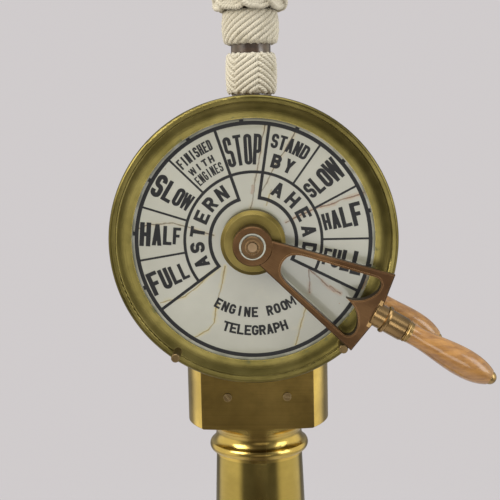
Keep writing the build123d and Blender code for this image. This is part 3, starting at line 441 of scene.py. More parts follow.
# %% Distance to a crack
CRACKS_FRONT = {
    "brown": [[(-149, 14), (-128, 23), (-98, 24), (-49, 7)], [(17, 144), (-2, 40)], [(55, 135), (9, 58)]],
    "yellow": [[(-36, -32), (-46, -76), (-51, -102), (-59, -112), (-82, -123)],
               [(-44, -32), (-85, -69), (-117, -75)], [(63, -85), (50, -132)], [(18, 44), (23, 62)]],
    "rust": [[(75, 37), (136, 56)], [(68, -37), (91, -59), (106, -68)], [(68, -37), (68, -66)],
             [(40, 22), (75, 37)]],
    "chip": [[(-1, 58), (1, 66)], [(133, -60), (139, -50)], [(94, -60), (99, -64)]],
}
CRACKS_REAR = {
    "brown": [[(-140, 52), (-92, 30), (-40, 12)], [(84, 118), (46, 62), (22, 33)]],
    "yellow": [[(30, -40), (44, -88), (38, -142)], [(-60, -40), (-96, -82)]],
    "rust": [[(98, 20), (146, 6)]],
    "chip": [[(-92, 30), (-88, 34)], [(44, -88), (43, -82)]],
}
MM = 0.001
CRACK_WIDTH = 0.00115
CHIP_WIDTH = 0.0030


def distance_to_run(across, up, start, end):
    """Distance in metres from the shaken dial coordinates to one straight run, given in mm."""
    ax, ay = start[0] * MM, start[1] * MM
    dx, dy = (end[0] - start[0]) * MM, (end[1] - start[1]) * MM
    length_squared = dx * dx + dy * dy
    px, py = across - ax, up - ay
    along = ((px * dx + py * dy) * (1.0 / length_squared)).clamped()
    ox, oy = px - along * dx, py - along * dy
    return (ox * ox + oy * oy).math("SQRT")


def nearest_run(across, up, chains):
    """Distance to the nearest of all the runs in some chains."""
    nearest = None
    for chain in chains:
        for start, end in zip(chain, chain[1:]):
            reach = distance_to_run(across, up, start, end)
            nearest = reach if nearest is None else nearest.math("MINIMUM", reach)
    return nearest


# %% The dial finish
def dial_glass(name, facing, cracks):
    """Stained opal glass; facing is 1 for the front dial and -1 for the rear one."""
    finish = Finish(name)
    shake = finish.noise(55.0, 4.0) - 0.5
    shake_up = finish.noise(48.0, 4.0, vector=finish.stretched(1.0, 1.0, 1.7)) - 0.5
    across = finish.x * facing + shake * 0.006
    up = finish.z - AXIS_Z + shake_up * 0.006
    cloud = finish.noise(7.0, 4.0).ramp(0.3, 0.75)
    colour = finish.mix(cloud, (0.225, 0.220, 0.166), (0.285, 0.280, 0.220))
    film = finish.noise(26.0, 6.0, roughness=0.65)
    colour = finish.mix(film.ramp(0.55, 0.80) * 0.25, colour, (0.42, 0.37, 0.22))
    tints = {"brown": ((0.075, 0.055, 0.025), (0.27, 0.215, 0.115)),
             "yellow": ((0.17, 0.12, 0.025), (0.34, 0.28, 0.09)),
             "rust": ((0.095, 0.036, 0.010), (0.23, 0.125, 0.040)),
             "chip": ((0.16, 0.085, 0.035), (0.30, 0.20, 0.10))}
    depth = None
    for kind, chains in cracks.items():
        reach = nearest_run(across, up, chains)
        core, halo = tints[kind]
        patchy = finish.noise(40.0, 5.0).ramp(0.34, 0.66)
        colour = finish.mix(reach.ramp(0.0050, 0.0002) * patchy * 0.7, colour, halo)
        width = CHIP_WIDTH if kind == "chip" else CRACK_WIDTH
        line = reach.ramp(width, 0.3 * width)
        colour = finish.mix(line * (0.55 + patchy * 0.45), colour, core)
        depth = line if depth is None else depth.math("MAXIMUM", line)
    rim = (finish.from_axis() + shake * 0.004).ramp(OPENING_R - 0.0050, OPENING_R - 0.0004)
    grime = rim * finish.noise(34.0, 5.0).ramp(0.36, 0.60)
    colour = finish.mix(grime * 0.75, colour, (0.13, 0.13, 0.085))
    specks = finish.cells(85.0).ramp(0.10, 0.04) * finish.noise(12.0).ramp(0.60, 0.70)
    colour = finish.mix(specks * 0.7, colour, (0.20, 0.12, 0.05))
    finish.set(Base_Color=colour, Roughness=0.16 + film * 0.12 + grime * 0.4,
               Coat_Weight=0.4 - grime * 0.3, IOR=1.5)
    finish.bump(film * 0.1 - depth, 0.0003, 0.6)
    return finish


dial_front = dial_glass("dial_glass_front", 1, CRACKS_FRONT)
dial_rear = dial_glass("dial_glass_rear", -1, CRACKS_REAR)


def clear_glass(name):
    finish = Finish(name)
    smoke = finish.noise(40.0, 4.0).ramp(0.4, 0.8)
    finish.set(Base_Color=finish.mix(smoke, (0.95, 0.95, 0.92), (0.55, 0.50, 0.42)),
               Roughness=0.04 + smoke * 0.15, IOR=1.46)
    finish.shader.inputs["Transmission Weight"].default_value = 1.0
    return finish


lamp_glass = clear_glass("lamp_glass")
print("dial finish nodes", len(dial_front.tree.nodes))

# %% [markdown]
# ## Which piece gets which finish
# A CAD node keeps its mesh and only takes a material. The list is read from the record's slots, and
# the few pieces that look different from the rest of their slot are named after it.

# %% Finishes on the CAD nodes
by_slot = {
    "bezel_brass": bezel_brass, "case_brass": case_brass, "column_brass": column_brass,
    "lever_bronze": lever_front, "bright_brass": bright_brass, "seal_rubber": seal_rubber,
    "clamp_brass": dull_brass, "screw_steel": screw_steel, "bearing_bronze": bearing_bronze,
    "bridge_iron": bridge_iron, "shaft_steel": shaft_steel, "gear_brass": gear_brass,
    "gong_metal": gong_metal, "hammer_steel": hammer_steel, "lamp_body": dull_brass,
    "lamp_glass": lamp_glass, "post_wood": post_wood, "dial_glass": dial_front, "grip_wood": grip_front,
    "rope_cotton": rope_cotton, "washer_metal": washer_steel,
}
by_node = {
    "rear_dial": dial_rear, "rear_grip": grip_rear, "front_hub_plate": hub_brass,
    "rear_hub_plate": hub_brass, "stop_pins": pin_brass, "neck_screws": pin_brass,
    "neck_box": neck_brass, "rear_lever": lever_rear, "front_nut": nut_bronze, "rear_nut": nut_bronze,
    "front_shaft": stud_steel, "rear_shaft": stud_steel,
}
slot_of = {entry["node"]: entry["material_slot"] for entry in frame["record"]["subparts"]}
for node, slot_name in slot_of.items():
    finish = by_node.get(node, by_slot[slot_name])
    target = bpy.data.objects[node]
    if target.material_slots:
        for material_slot in target.material_slots:
            material_slot.material = finish.material
    else:
        target.data.materials.append(finish.material)
print("finished nodes", len(slot_of))

# %% [markdown]
# ## The printed dial
# The rings, sector lines and orders are fired on the glass as a thin black enamel. They could be
# painted in the shader, but letters need real outlines, so each mark is a film a tenth of a
# millimetre thick that lies on the glass.

# %% Ink and the film it makes
INK_THICKNESS = 0.00012
INK_GAP = 0.00003
WELD = 2e-7                       # points nearer than this are one point
STROKE_STEP = 0.0000015           # each stroke lies a hair higher than the last, so none coincide


def enamel(name):
    finish = Finish(name)
    wear = finish.noise(90.0, 6.0, roughness=0.7).ramp(0.68, 0.76)
    colour = finish.mix(finish.noise(30.0), (0.006, 0.006, 0.007), (0.016, 0.0155, 0.0145))
    colour = finish.mix(wear * 0.6, colour, (0.16, 0.15, 0.12))
    finish.set(Base_Color=colour, Roughness=0.42 + wear * 0.3)
    finish.shader.inputs["Specular IOR Level"].default_value = 0.22
    finish.bump(finish.noise(300.0), 0.00003, 0.4)
    return finish


ink = enamel("dial_enamel")


def verts_in(geometry):
    return [item for item in geometry if isinstance(item, bmesh.types.BMVert)]


def without_faces(geometry):
    return [item for item in geometry if not isinstance(item, bmesh.types.BMFace)]


def finished_mesh(bm, name, finish, smooth=False):
    """Object from a bmesh, with doubles merged and faces turned outwards."""
    bmesh.ops.remove_doubles(bm, verts=bm.verts, dist=WELD)
    bmesh.ops.recalc_face_normals(bm, faces=bm.faces)
    loose = sum(1 for edge in bm.edges if not edge.is_manifold)
    print(name, "faces", len(bm.faces), "open edges", loose)
    mesh = bpy.data.meshes.new(name)
    bm.to_mesh(mesh)
    bm.free()
    for face in mesh.polygons:
        face.use_smooth = smooth
    mesh.materials.append(finish.material)
    piece = bpy.data.objects.new(name, mesh)
    bpy.context.scene.collection.objects.link(piece)
    return piece


def raise_film(bm):
    """Give flat print its thickness."""
    made = bmesh.ops.extrude_face_region(bm, geom=list(bm.faces))
    bmesh.ops.translate(bm, vec=(0, 0, INK_THICKNESS), verts=verts_in(made["geom"]))


def arc_band(bm, inner, outer, start, end, level=0):
    """Flat band between two radii from start to end, in degrees, drawn by spinning an edge."""
    turn = math.radians(start)
    up = level * STROKE_STEP
    ends = [bm.verts.new((r * math.cos(turn), r * math.sin(turn), up)) for r in (inner, outer)]
    edge = bm.edges.new(ends)
    whole = abs(end - start) >= 359.9
    bmesh.ops.spin(bm, geom=[*ends, edge], cent=(0, 0, 0), axis=(0, 0, 1),
                   angle=math.radians(end - start), steps=max(6, round(abs(end - start) / 2)),
                   use_merge=whole, use_normal_flip=False, use_duplicate=False)


def radial_line(bm, angle, inner, outer, width, level):
    """Straight line from one radius to another."""
    middle = Matrix.Translation(((inner + outer) / 2, 0, level * STROKE_STEP))
    place = Matrix.Rotation(math.radians(angle), 4, "Z") @ middle
    shape = Matrix.Diagonal((outer - inner, width, 1, 1))
    bmesh.ops.create_grid(bm, x_segments=1, y_segments=1, size=0.5, matrix=place @ shape)


# %% The lines of the dial
ORDER_PITCH = 27.0                # degrees between orders
FIRST_LINE = 216.0                # lower left end of the orders
LAST_LINE = FIRST_LINE - 9 * ORDER_PITCH
STOP_LINES = (FIRST_LINE - 4 * ORDER_PITCH, FIRST_LINE - 5 * ORDER_PITCH)
RING_OUTER = 0.1442
RING_MIDDLE = 0.0846
RING_INNER = 0.0533
OUTER_HALF, MIDDLE_HALF, INNER_HALF = 0.0024, 0.0018, 0.0022      # half widths of the rings
LIGHT_LINE, HEAVY_LINE, INNER_LINE = 0.0025, 0.0036, 0.0038
TICK_LENGTH, TICK_HALF_ANGLE = 0.0046, 1.0


def dial_lines(bm):
    arc_band(bm, RING_OUTER - OUTER_HALF, RING_OUTER + OUTER_HALF, 0, 360)
    arc_band(bm, RING_MIDDLE - MIDDLE_HALF, RING_MIDDLE + MIDDLE_HALF, LAST_LINE, FIRST_LINE)
    for start, end in ((STOP_LINES[0], FIRST_LINE), (LAST_LINE, STOP_LINES[1])):
        arc_band(bm, RING_INNER - INNER_HALF, RING_INNER + INNER_HALF, start, end)
    for index in range(10):
        angle = FIRST_LINE - index * ORDER_PITCH
        heavy = index in (0, 9) or angle in STOP_LINES
        radial_line(bm, angle, RING_MIDDLE, RING_OUTER, HEAVY_LINE if heavy else LIGHT_LINE, 1)
        if heavy:
            radial_line(bm, angle, RING_INNER - INNER_HALF, RING_MIDDLE, INNER_LINE, 2)
    for index in range(9):
        middle = order_angle(index)
        start, end = middle - TICK_HALF_ANGLE, middle + TICK_HALF_ANGLE
        arc_band(bm, RING_OUTER, RING_OUTER + TICK_LENGTH, start, end, 3)


def order_angle(index):
    return FIRST_LINE - (index + 0.5) * ORDER_PITCH


# %% [markdown]
# ## A sign writer's alphabet
# The orders are drawn in a narrow, heavy block letter. A text font squeezed this narrow would lose
# its upright strokes, so each capital is drawn as a sign writer draws it, with strokes of one
# weight. The brush is a single edge: extruding it gives a straight run, and spinning it gives a
# round corner. Slanting bars are a sheared grid, so that their ends stay level.

# %% The brush
class Brush:
    """An edge that is moved over the glass and leaves a stroke behind it."""

    def __init__(self, bm, start, heading, weight, level):
        self.bm = bm
        self.heading = math.radians(heading)
        self.spot = Vector((*start, level))
        side = self.left() * weight / 2
        ends = [bm.verts.new(self.spot + side), bm.verts.new(self.spot - side)]
        self.geometry = [*ends, bm.edges.new(ends)]

    def left(self):
        return Vector((-math.sin(self.heading), math.cos(self.heading), 0))

    def forward(self, distance):
        if distance > 1e-6:
            step = Vector((math.cos(self.heading), math.sin(self.heading), 0)) * distance
            edges = [item for item in self.geometry if isinstance(item, bmesh.types.BMEdge)]
            self.geometry = without_faces(bmesh.ops.extrude_edge_only(self.bm, edges=edges)["geom"])
            bmesh.ops.translate(self.bm, vec=step, verts=verts_in(self.geometry))
            self.spot += step

    def turn(self, degrees, radius):
        """Round corner; positive degrees turn left."""
        centre = self.spot + self.left() * math.copysign(radius, degrees)
        spun = bmesh.ops.spin(self.bm, geom=self.geometry, cent=centre, axis=(0, 0, 1),
                              angle=math.radians(degrees), steps=max(3, round(abs(degrees) / 15)),
                              use_merge=False, use_normal_flip=False, use_duplicate=False)
        self.geometry = without_faces(spun["geom_last"])
        self.spot = centre + Matrix.Rotation(math.radians(degrees), 3, "Z") @ (self.spot - centre)
        self.heading += math.radians(degrees)

    def follow(self, corner, steps, last):
        """Straight runs, each with a round corner after it, and then a last straight run."""
        for straight, degrees in steps:
            self.forward(straight)
            self.turn(degrees, corner)
        self.forward(last)


class Letter:
    """One capital in a box of the given width and height, in metres, with its corner at 0, 0."""

    def __init__(self, bm, width, height, weight):
        self.bm = bm
        self.width = width
        self.height = height
        self.weight = weight
        self.thin = 0.88 * weight
        self.round = (width - weight) / 2       # largest round corner of the centre line
        self.strokes = 0

    def level_of_stroke(self):
        self.strokes += 1
        return STROKE_STEP * self.strokes

    def bar(self, centre, size, shear=0.0):
        """Bar with level ends; shear is how far its head leans to the right."""
        lean = Matrix(((size[0], shear, 0, 0), (0, size[1], 0, 0), (0, 0, 1, 0), (0, 0, 0, 1)))
        place = Matrix.Translation((*centre, self.level_of_stroke()))
        bmesh.ops.create_grid(self.bm, x_segments=1, y_segments=1, size=0.5, matrix=place @ lean)

    def upright(self, share, bottom=0.0, top=1.0):
        """Upright bar; share runs from 0 at the left edge to 1 at the right edge."""
        across = self.weight / 2 + share * (self.width - self.weight)
        middle = (bottom + top) / 2 * self.height
        self.bar((across, middle), (self.weight, (top - bottom) * self.height))

    def level(self, share, left=0.0, right=1.0):
        """Level bar; share runs from 0 at the foot to 1 at the head."""
        up = self.thin / 2 + share * (self.height - self.thin)
        self.bar(((left + right) / 2 * self.width, up), ((right - left) * self.width, self.thin))

    def slant(self, foot, head, bottom=0.0, top=1.0):
        """Slanting bar; foot and head are shares across, as for an upright one."""
        room = self.width - self.weight
        centre = (self.weight / 2 + (foot + head) / 2 * room, (bottom + top) / 2 * self.height)
        self.bar(centre, (self.weight, (top - bottom) * self.height), (head - foot) * room)

    def brush(self, across, up, heading):
        """Brush set down at shares of the box that the centre lines of the strokes fill."""
        half = self.weight / 2
        start = (half + across * (self.width - self.weight), half + up * (self.height - self.weight))
        return Brush(self.bm, start, heading, self.weight, self.level_of_stroke())

    def run(self, share):
        """Length of a share of the centre line's height."""
        return share * (self.height - self.weight)

    def bowl(self, low, high):
        """Right-hand bowl of B, D, P and R, between two heights."""
        rise = self.run(high - low)
        corner = min(self.round, rise / 2)
        reach = 0.9 * (self.width - self.weight) - corner
        self.brush(0.1, low, 0).follow(corner, ((reach, 90), (rise - 2 * corner, 90)), reach)


# %% The capitals
def draw_o(letter):
    side = letter.run(1.0) - 2 * letter.round
    letter.brush(0.0, 0.5, 90).follow(letter.round, ((side / 2, -180), (side, -180)), side / 2)


def draw_u(letter):
    head = 1.0 + letter.weight / 2 / letter.run(1.0)
    side = letter.run(head) - letter.round
    letter.brush(0.0, head, -90).follow(letter.round, ((side, 180),), side)


def draw_s(letter):
    """Top hook, back, a level spine, and the lower hook."""
    corner = min(letter.round, letter.run(0.25))
    across = 2 * (letter.round - corner)
    back = letter.run(0.5) - 2 * corner
    hook = letter.run(0.26) - corner
    steps = ((hook, 90), (across, 90), (back, 90), (across, -90), (back, -90), (across, -90))
    letter.brush(1.0, 0.74, 90).follow(corner, steps, hook)


def draw_g(letter):
    side = letter.run(1.0) - 2 * letter.round
    steps = ((letter.run(0.28) - letter.round, 180), (side, 180))
    letter.brush(1.0, 0.72, 90).follow(letter.round, steps, letter.run(0.46) - letter.round)
    letter.level(0.46, left=0.5)


CURVED = {"O": draw_o, "U": draw_u, "S": draw_s, "G": draw_g}
STEMS = ((0.0, "BDEFHILMNPR"), (1.0, "HMN"), (0.5, "T"))         # where the uprights of each stand


def draw_capital(letter, name):
    for share, members in STEMS:
        if name in members:
            letter.upright(share)
    if name in "EFT":
        letter.level(1.0)
    if name in "EFH":
        letter.level(0.5, right=1.0 if name == "H" else 0.85)
    if name in "EL":
        letter.level(0.0)
    if name == "N":
        letter.slant(1.0, 0.0)
    elif name == "M":
        letter.slant(0.5, 0.0, bottom=0.3)
        letter.slant(0.5, 1.0, bottom=0.3)
    elif name == "A":
        letter.slant(0.0, 0.5)
        letter.slant(1.0, 0.5)
        letter.level(0.26, left=0.2, right=0.8)
    elif name == "W":
        for foot, head in ((0.2, 0.0), (0.2, 0.5), (0.8, 0.5), (0.8, 1.0)):
            letter.slant(foot, head)
    elif name == "Y":
        letter.slant(0.5, 0.0, bottom=0.42)
        letter.slant(0.5, 1.0, bottom=0.42)
        letter.upright(0.5, top=0.45)
    elif name == "B":
        letter.bowl(0.0, 0.52)
        letter.bowl(0.52, 1.0)
    elif name == "D":
        letter.bowl(0.0, 1.0)
    elif name == "P":
        letter.bowl(0.42, 1.0)
    elif name == "R":
        letter.bowl(0.46, 1.0)
        letter.slant(1.0, 0.45, top=0.5)
    elif name in CURVED:
        CURVED[name](letter)


def put_letter(bm, name, centre, turn, size):
    """One capital of size (width, height, weight) about a centre, its foot line turned by degrees."""
    width, height, weight = size
    if name == "I":
        width = weight
    if name in "MW":
        width, weight = 1.3 * width, 0.78 * weight
    before = set(bm.verts)
    draw_capital(Letter(bm, width, height, weight), name)
    place = (Matrix.Translation((*centre, 0)) @ Matrix.Rotation(math.radians(turn), 4, "Z")
             @ Matrix.Translation((-width / 2, -height / 2, 0)))
    bmesh.ops.transform(bm, matrix=place, verts=[vert for vert in bm.verts if vert not in before])


def at(radius, angle):
    turn = math.radians(angle)
    return radius * math.cos(turn), radius * math.sin(turn)


# %% Words round the dial and along its spokes
def word_on_arc(bm, word, foot, size, angles):
    """Word whose letters stand on an arc, heads outwards; angles are its first and last letter's."""
    first, last = angles
    for index, name in enumerate(word):
        angle = first + (last - first) * index / (len(word) - 1)
        put_letter(bm, name, at(foot + size[1] / 2, angle), angle - 90, size)


def word_under_arc(bm, word, foot, size, angles):
    """Word in the lower half of the dial, heads towards the centre."""
    first, last = angles
    for index, name in enumerate(word):
        angle = first + (last - first) * index / (len(word) - 1)
        put_letter(bm, name, at(foot - size[1] / 2, angle), angle + 90, size)


def word_on_spoke(bm, word, angle, radii, inwards):
    """Word that reads along a radius; letters grow with their distance from the centre."""
    first, last = radii
    for index, name in enumerate(word):
        radius = first * (last / first) ** (index / (len(word) - 1))
        size = (0.102 * radius, 0.222 * radius, 0.0425 * radius)
        put_letter(bm, name, at(radius, angle), angle + (180 if inwards else 0), size)


def dial_words(bm):
    for index, word in enumerate(("FULL", "HALF", "SLOW")):
        word_on_spoke(bm, word, order_angle(index), (0.1335, 0.0945), inwards=True)
    for index, word in enumerate(("SLOW", "HALF", "FULL")):
        word_on_spoke(bm, word, order_angle(6 + index), (0.0930, 0.1310), inwards=False)
    word_on_arc(bm, "FINISHED", 0.122, (0.0052, 0.0135, 0.0023), (132.4, 113.4))
    word_on_arc(bm, "WITH", 0.1080, (0.0066, 0.0090, 0.0023), (130.0, 116.0))
    word_on_arc(bm, "ENGINES", 0.0930, (0.0044, 0.0122, 0.0018), (131.5, 112.5))
    word_on_arc(bm, "STOP", 0.0935, (0.0098, 0.0375, 0.0042), (103.9, 86.3))
    word_on_arc(bm, "STAND", 0.116, (0.0088, 0.0178, 0.0035), (76.6, 58.6))
    word_on_arc(bm, "BY", 0.0925, (0.0118, 0.0172, 0.0042), (72.6, 63.2))
    word_on_arc(bm, "ASTERN", 0.0605, (0.0132, 0.0180, 0.0044), (202.0, 122.5))
    word_on_arc(bm, "AHEAD", 0.0605, (0.0138, 0.0180, 0.0044), (63.0, -9.0))
    word_under_arc(bm, "ENGINE ROOM", 0.0960, (0.0080, 0.0128, 0.0029), (-120.0, -60.0))
    word_under_arc(bm, "TELEGRAPH", 0.1190, (0.0086, 0.0128, 0.0029), (-108.5, -71.5))


# %% One print on each dial
def dial_print(name, body, front):
    """Draw lines and words, raise them, and lay them on the front or the rear dial."""
    bm = bmesh.new()
    dial_lines(bm)
    dial_words(bm)
    bmesh.ops.remove_doubles(bm, verts=bm.verts, dist=WELD)
    raise_film(bm)
    stand = Matrix.Rotation(math.radians(90), 4, "X")
    lift = Matrix.Translation((0, -DIAL_FACE - INK_GAP, AXIS_Z))
    turn = Matrix.Identity(4) if front else Matrix.Rotation(math.pi, 4, "Z")
    bmesh.ops.transform(bm, matrix=turn @ lift @ stand, verts=bm.verts)
    piece = finished_mesh(bm, name, ink)
    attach(piece, body)
    return piece


front_print = dial_print("front_dial_print", "pedestal", True)
dial_print("rear_dial_print", "pedestal", False)
print("print triangles", sum(len(p.vertices) - 2 for p in front_print.data.polygons))

# %% [markdown]
# ## Rope work on the post
# The bindings are three-ply cotton line pulled tight round a wooden post. The lower one is woven
# over and under in a herringbone, the upper one is wound side by side on a slope, and a knot
# crowns them. Each ply is a curve with a round section that winds round its strand, which shows the
# twist of real rope, and a plain sleeve fills the space beneath.


# %% Plies of a strand
PLY_COUNT = 3
PLY_TWIST = 0.011                 # metres of strand for one turn of its plies


def strand_plies(path, strand_r):
    """Three twisted plies that follow a path of points, as point lists."""
    plies = [[] for _ in range(PLY_COUNT)]
    travelled = 0.0
    for index, point in enumerate(path):
        before = path[max(index - 1, 0)]
        after = path[min(index + 1, len(path) - 1)]
        forward = (after - before).normalized()
        outward = Vector((point.x, point.y, 0)).normalized()
        side = forward.cross(outward).normalized()
        up = side.cross(forward)
        if index:
            travelled += (point - path[index - 1]).length
        for ply in range(PLY_COUNT):
            angle = 2 * math.pi * (travelled / PLY_TWIST + ply / PLY_COUNT)
            offset = side * math.cos(angle) + up * math.sin(angle)
            plies[ply].append(point + offset * strand_r * 0.46)
    return plies


def rope_piece(name, paths, strand_r, node, core_depth=0.0045):
    """Mesh of twisted strands that stands for a plain CAD node."""
    curve = bpy.data.curves.new(name, "CURVE")
    curve.dimensions = "3D"
    curve.bevel_depth = strand_r * 0.56
    curve.bevel_resolution = 1
    curve.use_fill_caps = True
    for path in paths:
        for ply in strand_plies(path, strand_r):
            spline = curve.splines.new("POLY")
            spline.points.add(len(ply) - 1)
            for point, place in zip(spline.points, ply):
                point.co = (*place, 1.0)
    holder = bpy.data.objects.new(name + "_path", curve)
    bpy.context.scene.collection.objects.link(holder)
    mesh = bpy.data.meshes.new_from_object(holder)
    bpy.data.objects.remove(holder)
    bm = bmesh.new()
    bm.from_mesh(mesh)
    add_core(bm, node, core_depth)
    piece = finished_mesh(bm, name, rope_cotton, smooth=True)
    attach(piece, "pedestal")
    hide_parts(node)
    return piece


def add_core(bm, node, depth):
    """Sleeve that lies a depth under the strands, so that no gap shows between them."""
    low, high = low_high(node)
    radius = (high.x - low.x) / 2 - depth
    height = high.z - low.z - 0.004
    place = Matrix.Translation((0, 0, (low.z + high.z) / 2))
    made = bmesh.ops.create_cone(bm, cap_ends=True, segments=48, radius1=radius, radius2=radius,
                                 depth=height, matrix=place)
    rims = {edge for vert in made["verts"] for edge in vert.link_edges if len(edge.link_faces) == 2
            and {len(face.verts) for face in edge.link_faces} == {4, 48}}
    bmesh.ops.bevel(bm, geom=list(rims), offset=0.004, offset_type="OFFSET", affect="EDGES",
                    segments=3, profile=0.5, material=-1)


# %% The upper binding
def wound_paths(node, strands, slope, strand_r):
    """Strands wound side by side; slope is how far round each one goes for its rise."""
    low, high = low_high(node)
    radius = (high.x - low.x) / 2 - strand_r * 1.02
    bottom, top = low.z + strand_r, high.z - strand_r
    turn = slope * (top - bottom) / radius
    steps = 40
    paths = []
    for index in range(strands):
        start = 2 * math.pi * index / strands
        path = []
        for step in range(steps + 1):
            share = step / steps
            angle = start + turn * share
            waist = 0.0024 * (2 * share - 1) ** 2
            tuck = 0.0040 * max(0.0, (abs(2 * share - 1) - 0.86) / 0.14) ** 2
            reach = radius - waist - tuck
            path.append(Vector((reach * math.cos(angle), reach * math.sin(angle),
                                bottom + share * (top - bottom))))
        paths.append(path)
    return paths


upper_rope = rope_piece("rope_band_upper_winding", wound_paths("rope_band_upper", 20, 1.32, 0.0038),
                        0.0038, "rope_band_upper")


# %% The lower binding
def chevron_paths(node, columns, first, rise, pitch, strand_r):
    """Columns of parallel strands that rise and fall by turns, so that they meet in chevrons."""
    low, high = low_high(node)
    radius = (high.x - low.x) / 2 - strand_r * 1.02
    bottom, top = low.z + strand_r * 0.8, high.z - strand_r * 0.8
    width = 2 * math.pi / columns
    steps = 22
    paths = []
    for column in range(columns):
        for row in range(-int(rise / pitch) - 1, int((top - bottom) / pitch) + 2):
            path = []
            for step in range(steps + 1):
                share = step / steps
                climb = share if column % 2 == 0 else 1 - share
                height = bottom + row * pitch + rise * climb
                if not bottom <= height <= top:
                    continue
                angle = math.radians(first) + width * (column + share * 1.10 - 0.05)
                end = min(height - bottom, top - height)
                tuck = 0.0034 * abs(2 * share - 1) ** 7 + 0.0022 * max(0.0, 1 - end / 0.004) ** 2
                reach = radius - tuck - 0.0016 * (2 * (height - bottom) / (top - bottom) - 1) ** 2
                path.append(Vector((reach * math.cos(angle), reach * math.sin(angle), height)))
            if len(path) > 3:
                paths.append(path)
    return paths


lower_rope = rope_piece("rope_band_lower_weave",
                        chevron_paths("rope_band_lower", 6, -132.0, 0.025, 0.0074, 0.0034),
                        0.0034, "rope_band_lower")
print("binding faces", len(lower_rope.data.polygons), len(upper_rope.data.polygons))


# %% The crown knot
def knot_paths(node, strand_r):
    """A turk's head of parallel strands, laid over a dome."""
    low, high = low_high(node)
    radius = (high.x - low.x) / 2
    height = high.z - low.z
    paths = []
    leads, bights = 3, 8
    for lane in (-1, 0, 1):
        path = []
        steps = 620
        for step in range(steps + 1):
            turn = 2 * math.pi * leads * step / steps
            wave = math.sin(turn * bights / leads + lane * 0.10)
            over = math.sin(2 * turn * bights / leads + lane * 0.2)
            tilt = wave * 0.95
            rim = radius - strand_r * 1.4 - 0.011
            ring = rim + 0.0105 * math.cos(tilt * 1.25) + 0.0016 * over
            level = low.z + height * 0.40 + (height * 0.36) * math.sin(tilt * 1.25)
            level += lane * strand_r * 1.5 * (0.5 + 0.5 * abs(math.cos(turn * bights / leads)))
            ring -= 0.30 * max(0.0, level - low.z - height * 0.62)
            path.append(Vector((ring * math.cos(turn), ring * math.sin(turn), level)))
        paths.append(path)
    for ring_index in range(5):
        reach = radius * (0.66 - 0.135 * ring_index)
        level = high.z - strand_r * 1.2 - 0.010 * (reach / radius) ** 2 * 2.2
        path = []
        for step in range(73):
            turn = 2 * math.pi * step / 72
            path.append(Vector((reach * math.cos(turn), reach * math.sin(turn), level)))
        paths.append(path)
    return paths


knot_rope = rope_piece("rope_knot_weave", knot_paths("rope_knot", 0.0042), 0.0042, "rope_knot",
                       core_depth=0.010)
print("knot faces", len(knot_rope.data.polygons))

# %% [markdown]
# ## Floor, light and camera
# A pale floor that fades into a plain backdrop, one large soft light from the upper left, a weaker
# one from the right, one overhead and a low one in front. The camera stands a little above the dial
# and to the right of it, and looks down at it.


# %% Floor and backdrop
FLOOR_REACH = 6.0                 # half the width of the floor, metres
FADE_FROM, FADE_TO = 0.6, 2.3     # distances from the column between which the floor fades out
BACKDROP = (0.63, 0.60, 0.605)


def pale(name, colour):
    """Pale paper that fades into the backdrop, so no wall or edge is behind the object in any view."""
    finish = Finish(name)
    tone = finish.noise(0.8, 2.0).ramp(0.3, 0.7)
    away = (finish.x * finish.x + finish.y * finish.y).math("SQRT")
    finish.set(Base_Color=finish.mix(tone, colour, tuple(0.97 * c for c in colour)), Roughness=0.85,
               Alpha=away.ramp(FADE_TO, FADE_FROM))
    return finish


def studio_floor():
    bm = bmesh.new()
    bmesh.ops.create_grid(bm, x_segments=1, y_segments=1, size=FLOOR_REACH)
    return finished_mesh(bm, "studio_floor", pale("studio_paper", (0.62, 0.60, 0.61)))


studio_floor()


# %% Lights
def soft_light(name, place, size, power, colour=(1.0, 1.0, 1.0)):
    """Square light turned to the middle of the dial, which the camera itself can't see."""
    light = bpy.data.lights.new(name, "AREA")
    light.shape = "RECTANGLE"
    light.size, light.size_y = size
    light.energy = power
    light.color = colour
    lamp = bpy.data.objects.new(name, light)
    lamp.location = place
    lamp.visible_camera = False
    lamp.rotation_euler = (Vector((0.0, 0.0, AXIS_Z)) - Vector(place)).to_track_quat("-Z", "Y").to_euler()
    bpy.context.scene.collection.objects.link(lamp)


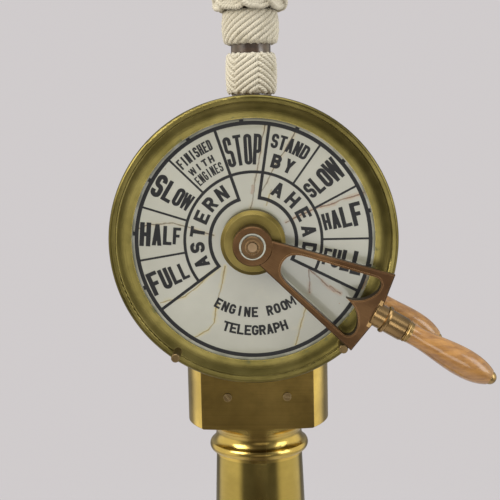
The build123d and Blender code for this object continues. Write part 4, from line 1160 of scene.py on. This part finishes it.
soft_light("window_left", (-1.9, -1.5, AXIS_Z + 1.3), (1.6, 1.6), 60, (1.0, 0.97, 0.92))
soft_light("window_right", (2.2, -1.2, AXIS_Z + 0.7), (1.2, 1.8), 26, (0.95, 0.97, 1.0))
soft_light("ceiling", (0.0, -0.5, AXIS_Z + 2.3), (2.4, 1.6), 44)
soft_light("low_front", (0.3, -2.6, AXIS_Z - 0.3), (1.6, 0.8), 14)

# %% [markdown]
# ## A room to reflect
# Polished brass shows its surroundings more than itself. The surroundings are a simple room made of
# smooth steps: a pale ceiling, a darker floor, and a dim band straight ahead of the dial, where the
# viewer stands. The band darkens the middle of the column, and a painted reflection in its finish,
# lighter at the sides and darker in the middle, does the rest. The camera itself sees a plain
# backdrop, the same in every direction.

# %% The room
world = bpy.data.worlds.new("studio")
bpy.context.scene.world = world
world.use_nodes = True
room = Network(world.node_tree, "Generated")
ceiling = room.z.ramp(-0.15, 0.85)
walls = room.mix(ceiling, (0.30, 0.29, 0.28), (0.92, 0.93, 0.96))
ahead = room.x.math("ABSOLUTE").ramp(0.36, 0.06) * room.y.ramp(0.0, -0.6) * room.z.ramp(0.55, 0.1)
walls = room.mix(ahead * 0.8, walls, (0.16, 0.13, 0.10))
windows = room.x.math("ABSOLUTE").ramp(0.62, 0.86) * room.z.math("ABSOLUTE").ramp(0.6, 0.3)
walls = room.mix(windows * 0.8, walls, (1.9, 1.8, 1.5))
camera_ray = Value(room, world.node_tree.nodes.new("ShaderNodeLightPath").outputs["Is Camera Ray"])
ROOM_STRENGTH = 0.72
walls = room.mix(camera_ray, walls, tuple(c / ROOM_STRENGTH for c in BACKDROP))
backdrop_light = world.node_tree.nodes["Background"]
room.feed(backdrop_light.inputs["Color"], walls)
backdrop_light.inputs["Strength"].default_value = ROOM_STRENGTH

# %% Camera
camera_data = bpy.data.cameras.new("camera")
camera_data.sensor_width = 36.0
camera_data.lens = 76.0
camera = bpy.data.objects.new("camera", camera_data)
bpy.context.scene.collection.objects.link(camera)
PITCH, YAW, ROLL = 7.4, 1.05, 1.26        # degrees: down, left, and the lean of the horizon
camera.location = (0.023, -1.406, AXIS_Z + 0.156)
camera.rotation_euler = (math.radians(90 - PITCH), math.radians(ROLL), math.radians(YAW))
bpy.context.scene.camera = camera
bpy.context.scene.view_settings.view_transform = "Standard"
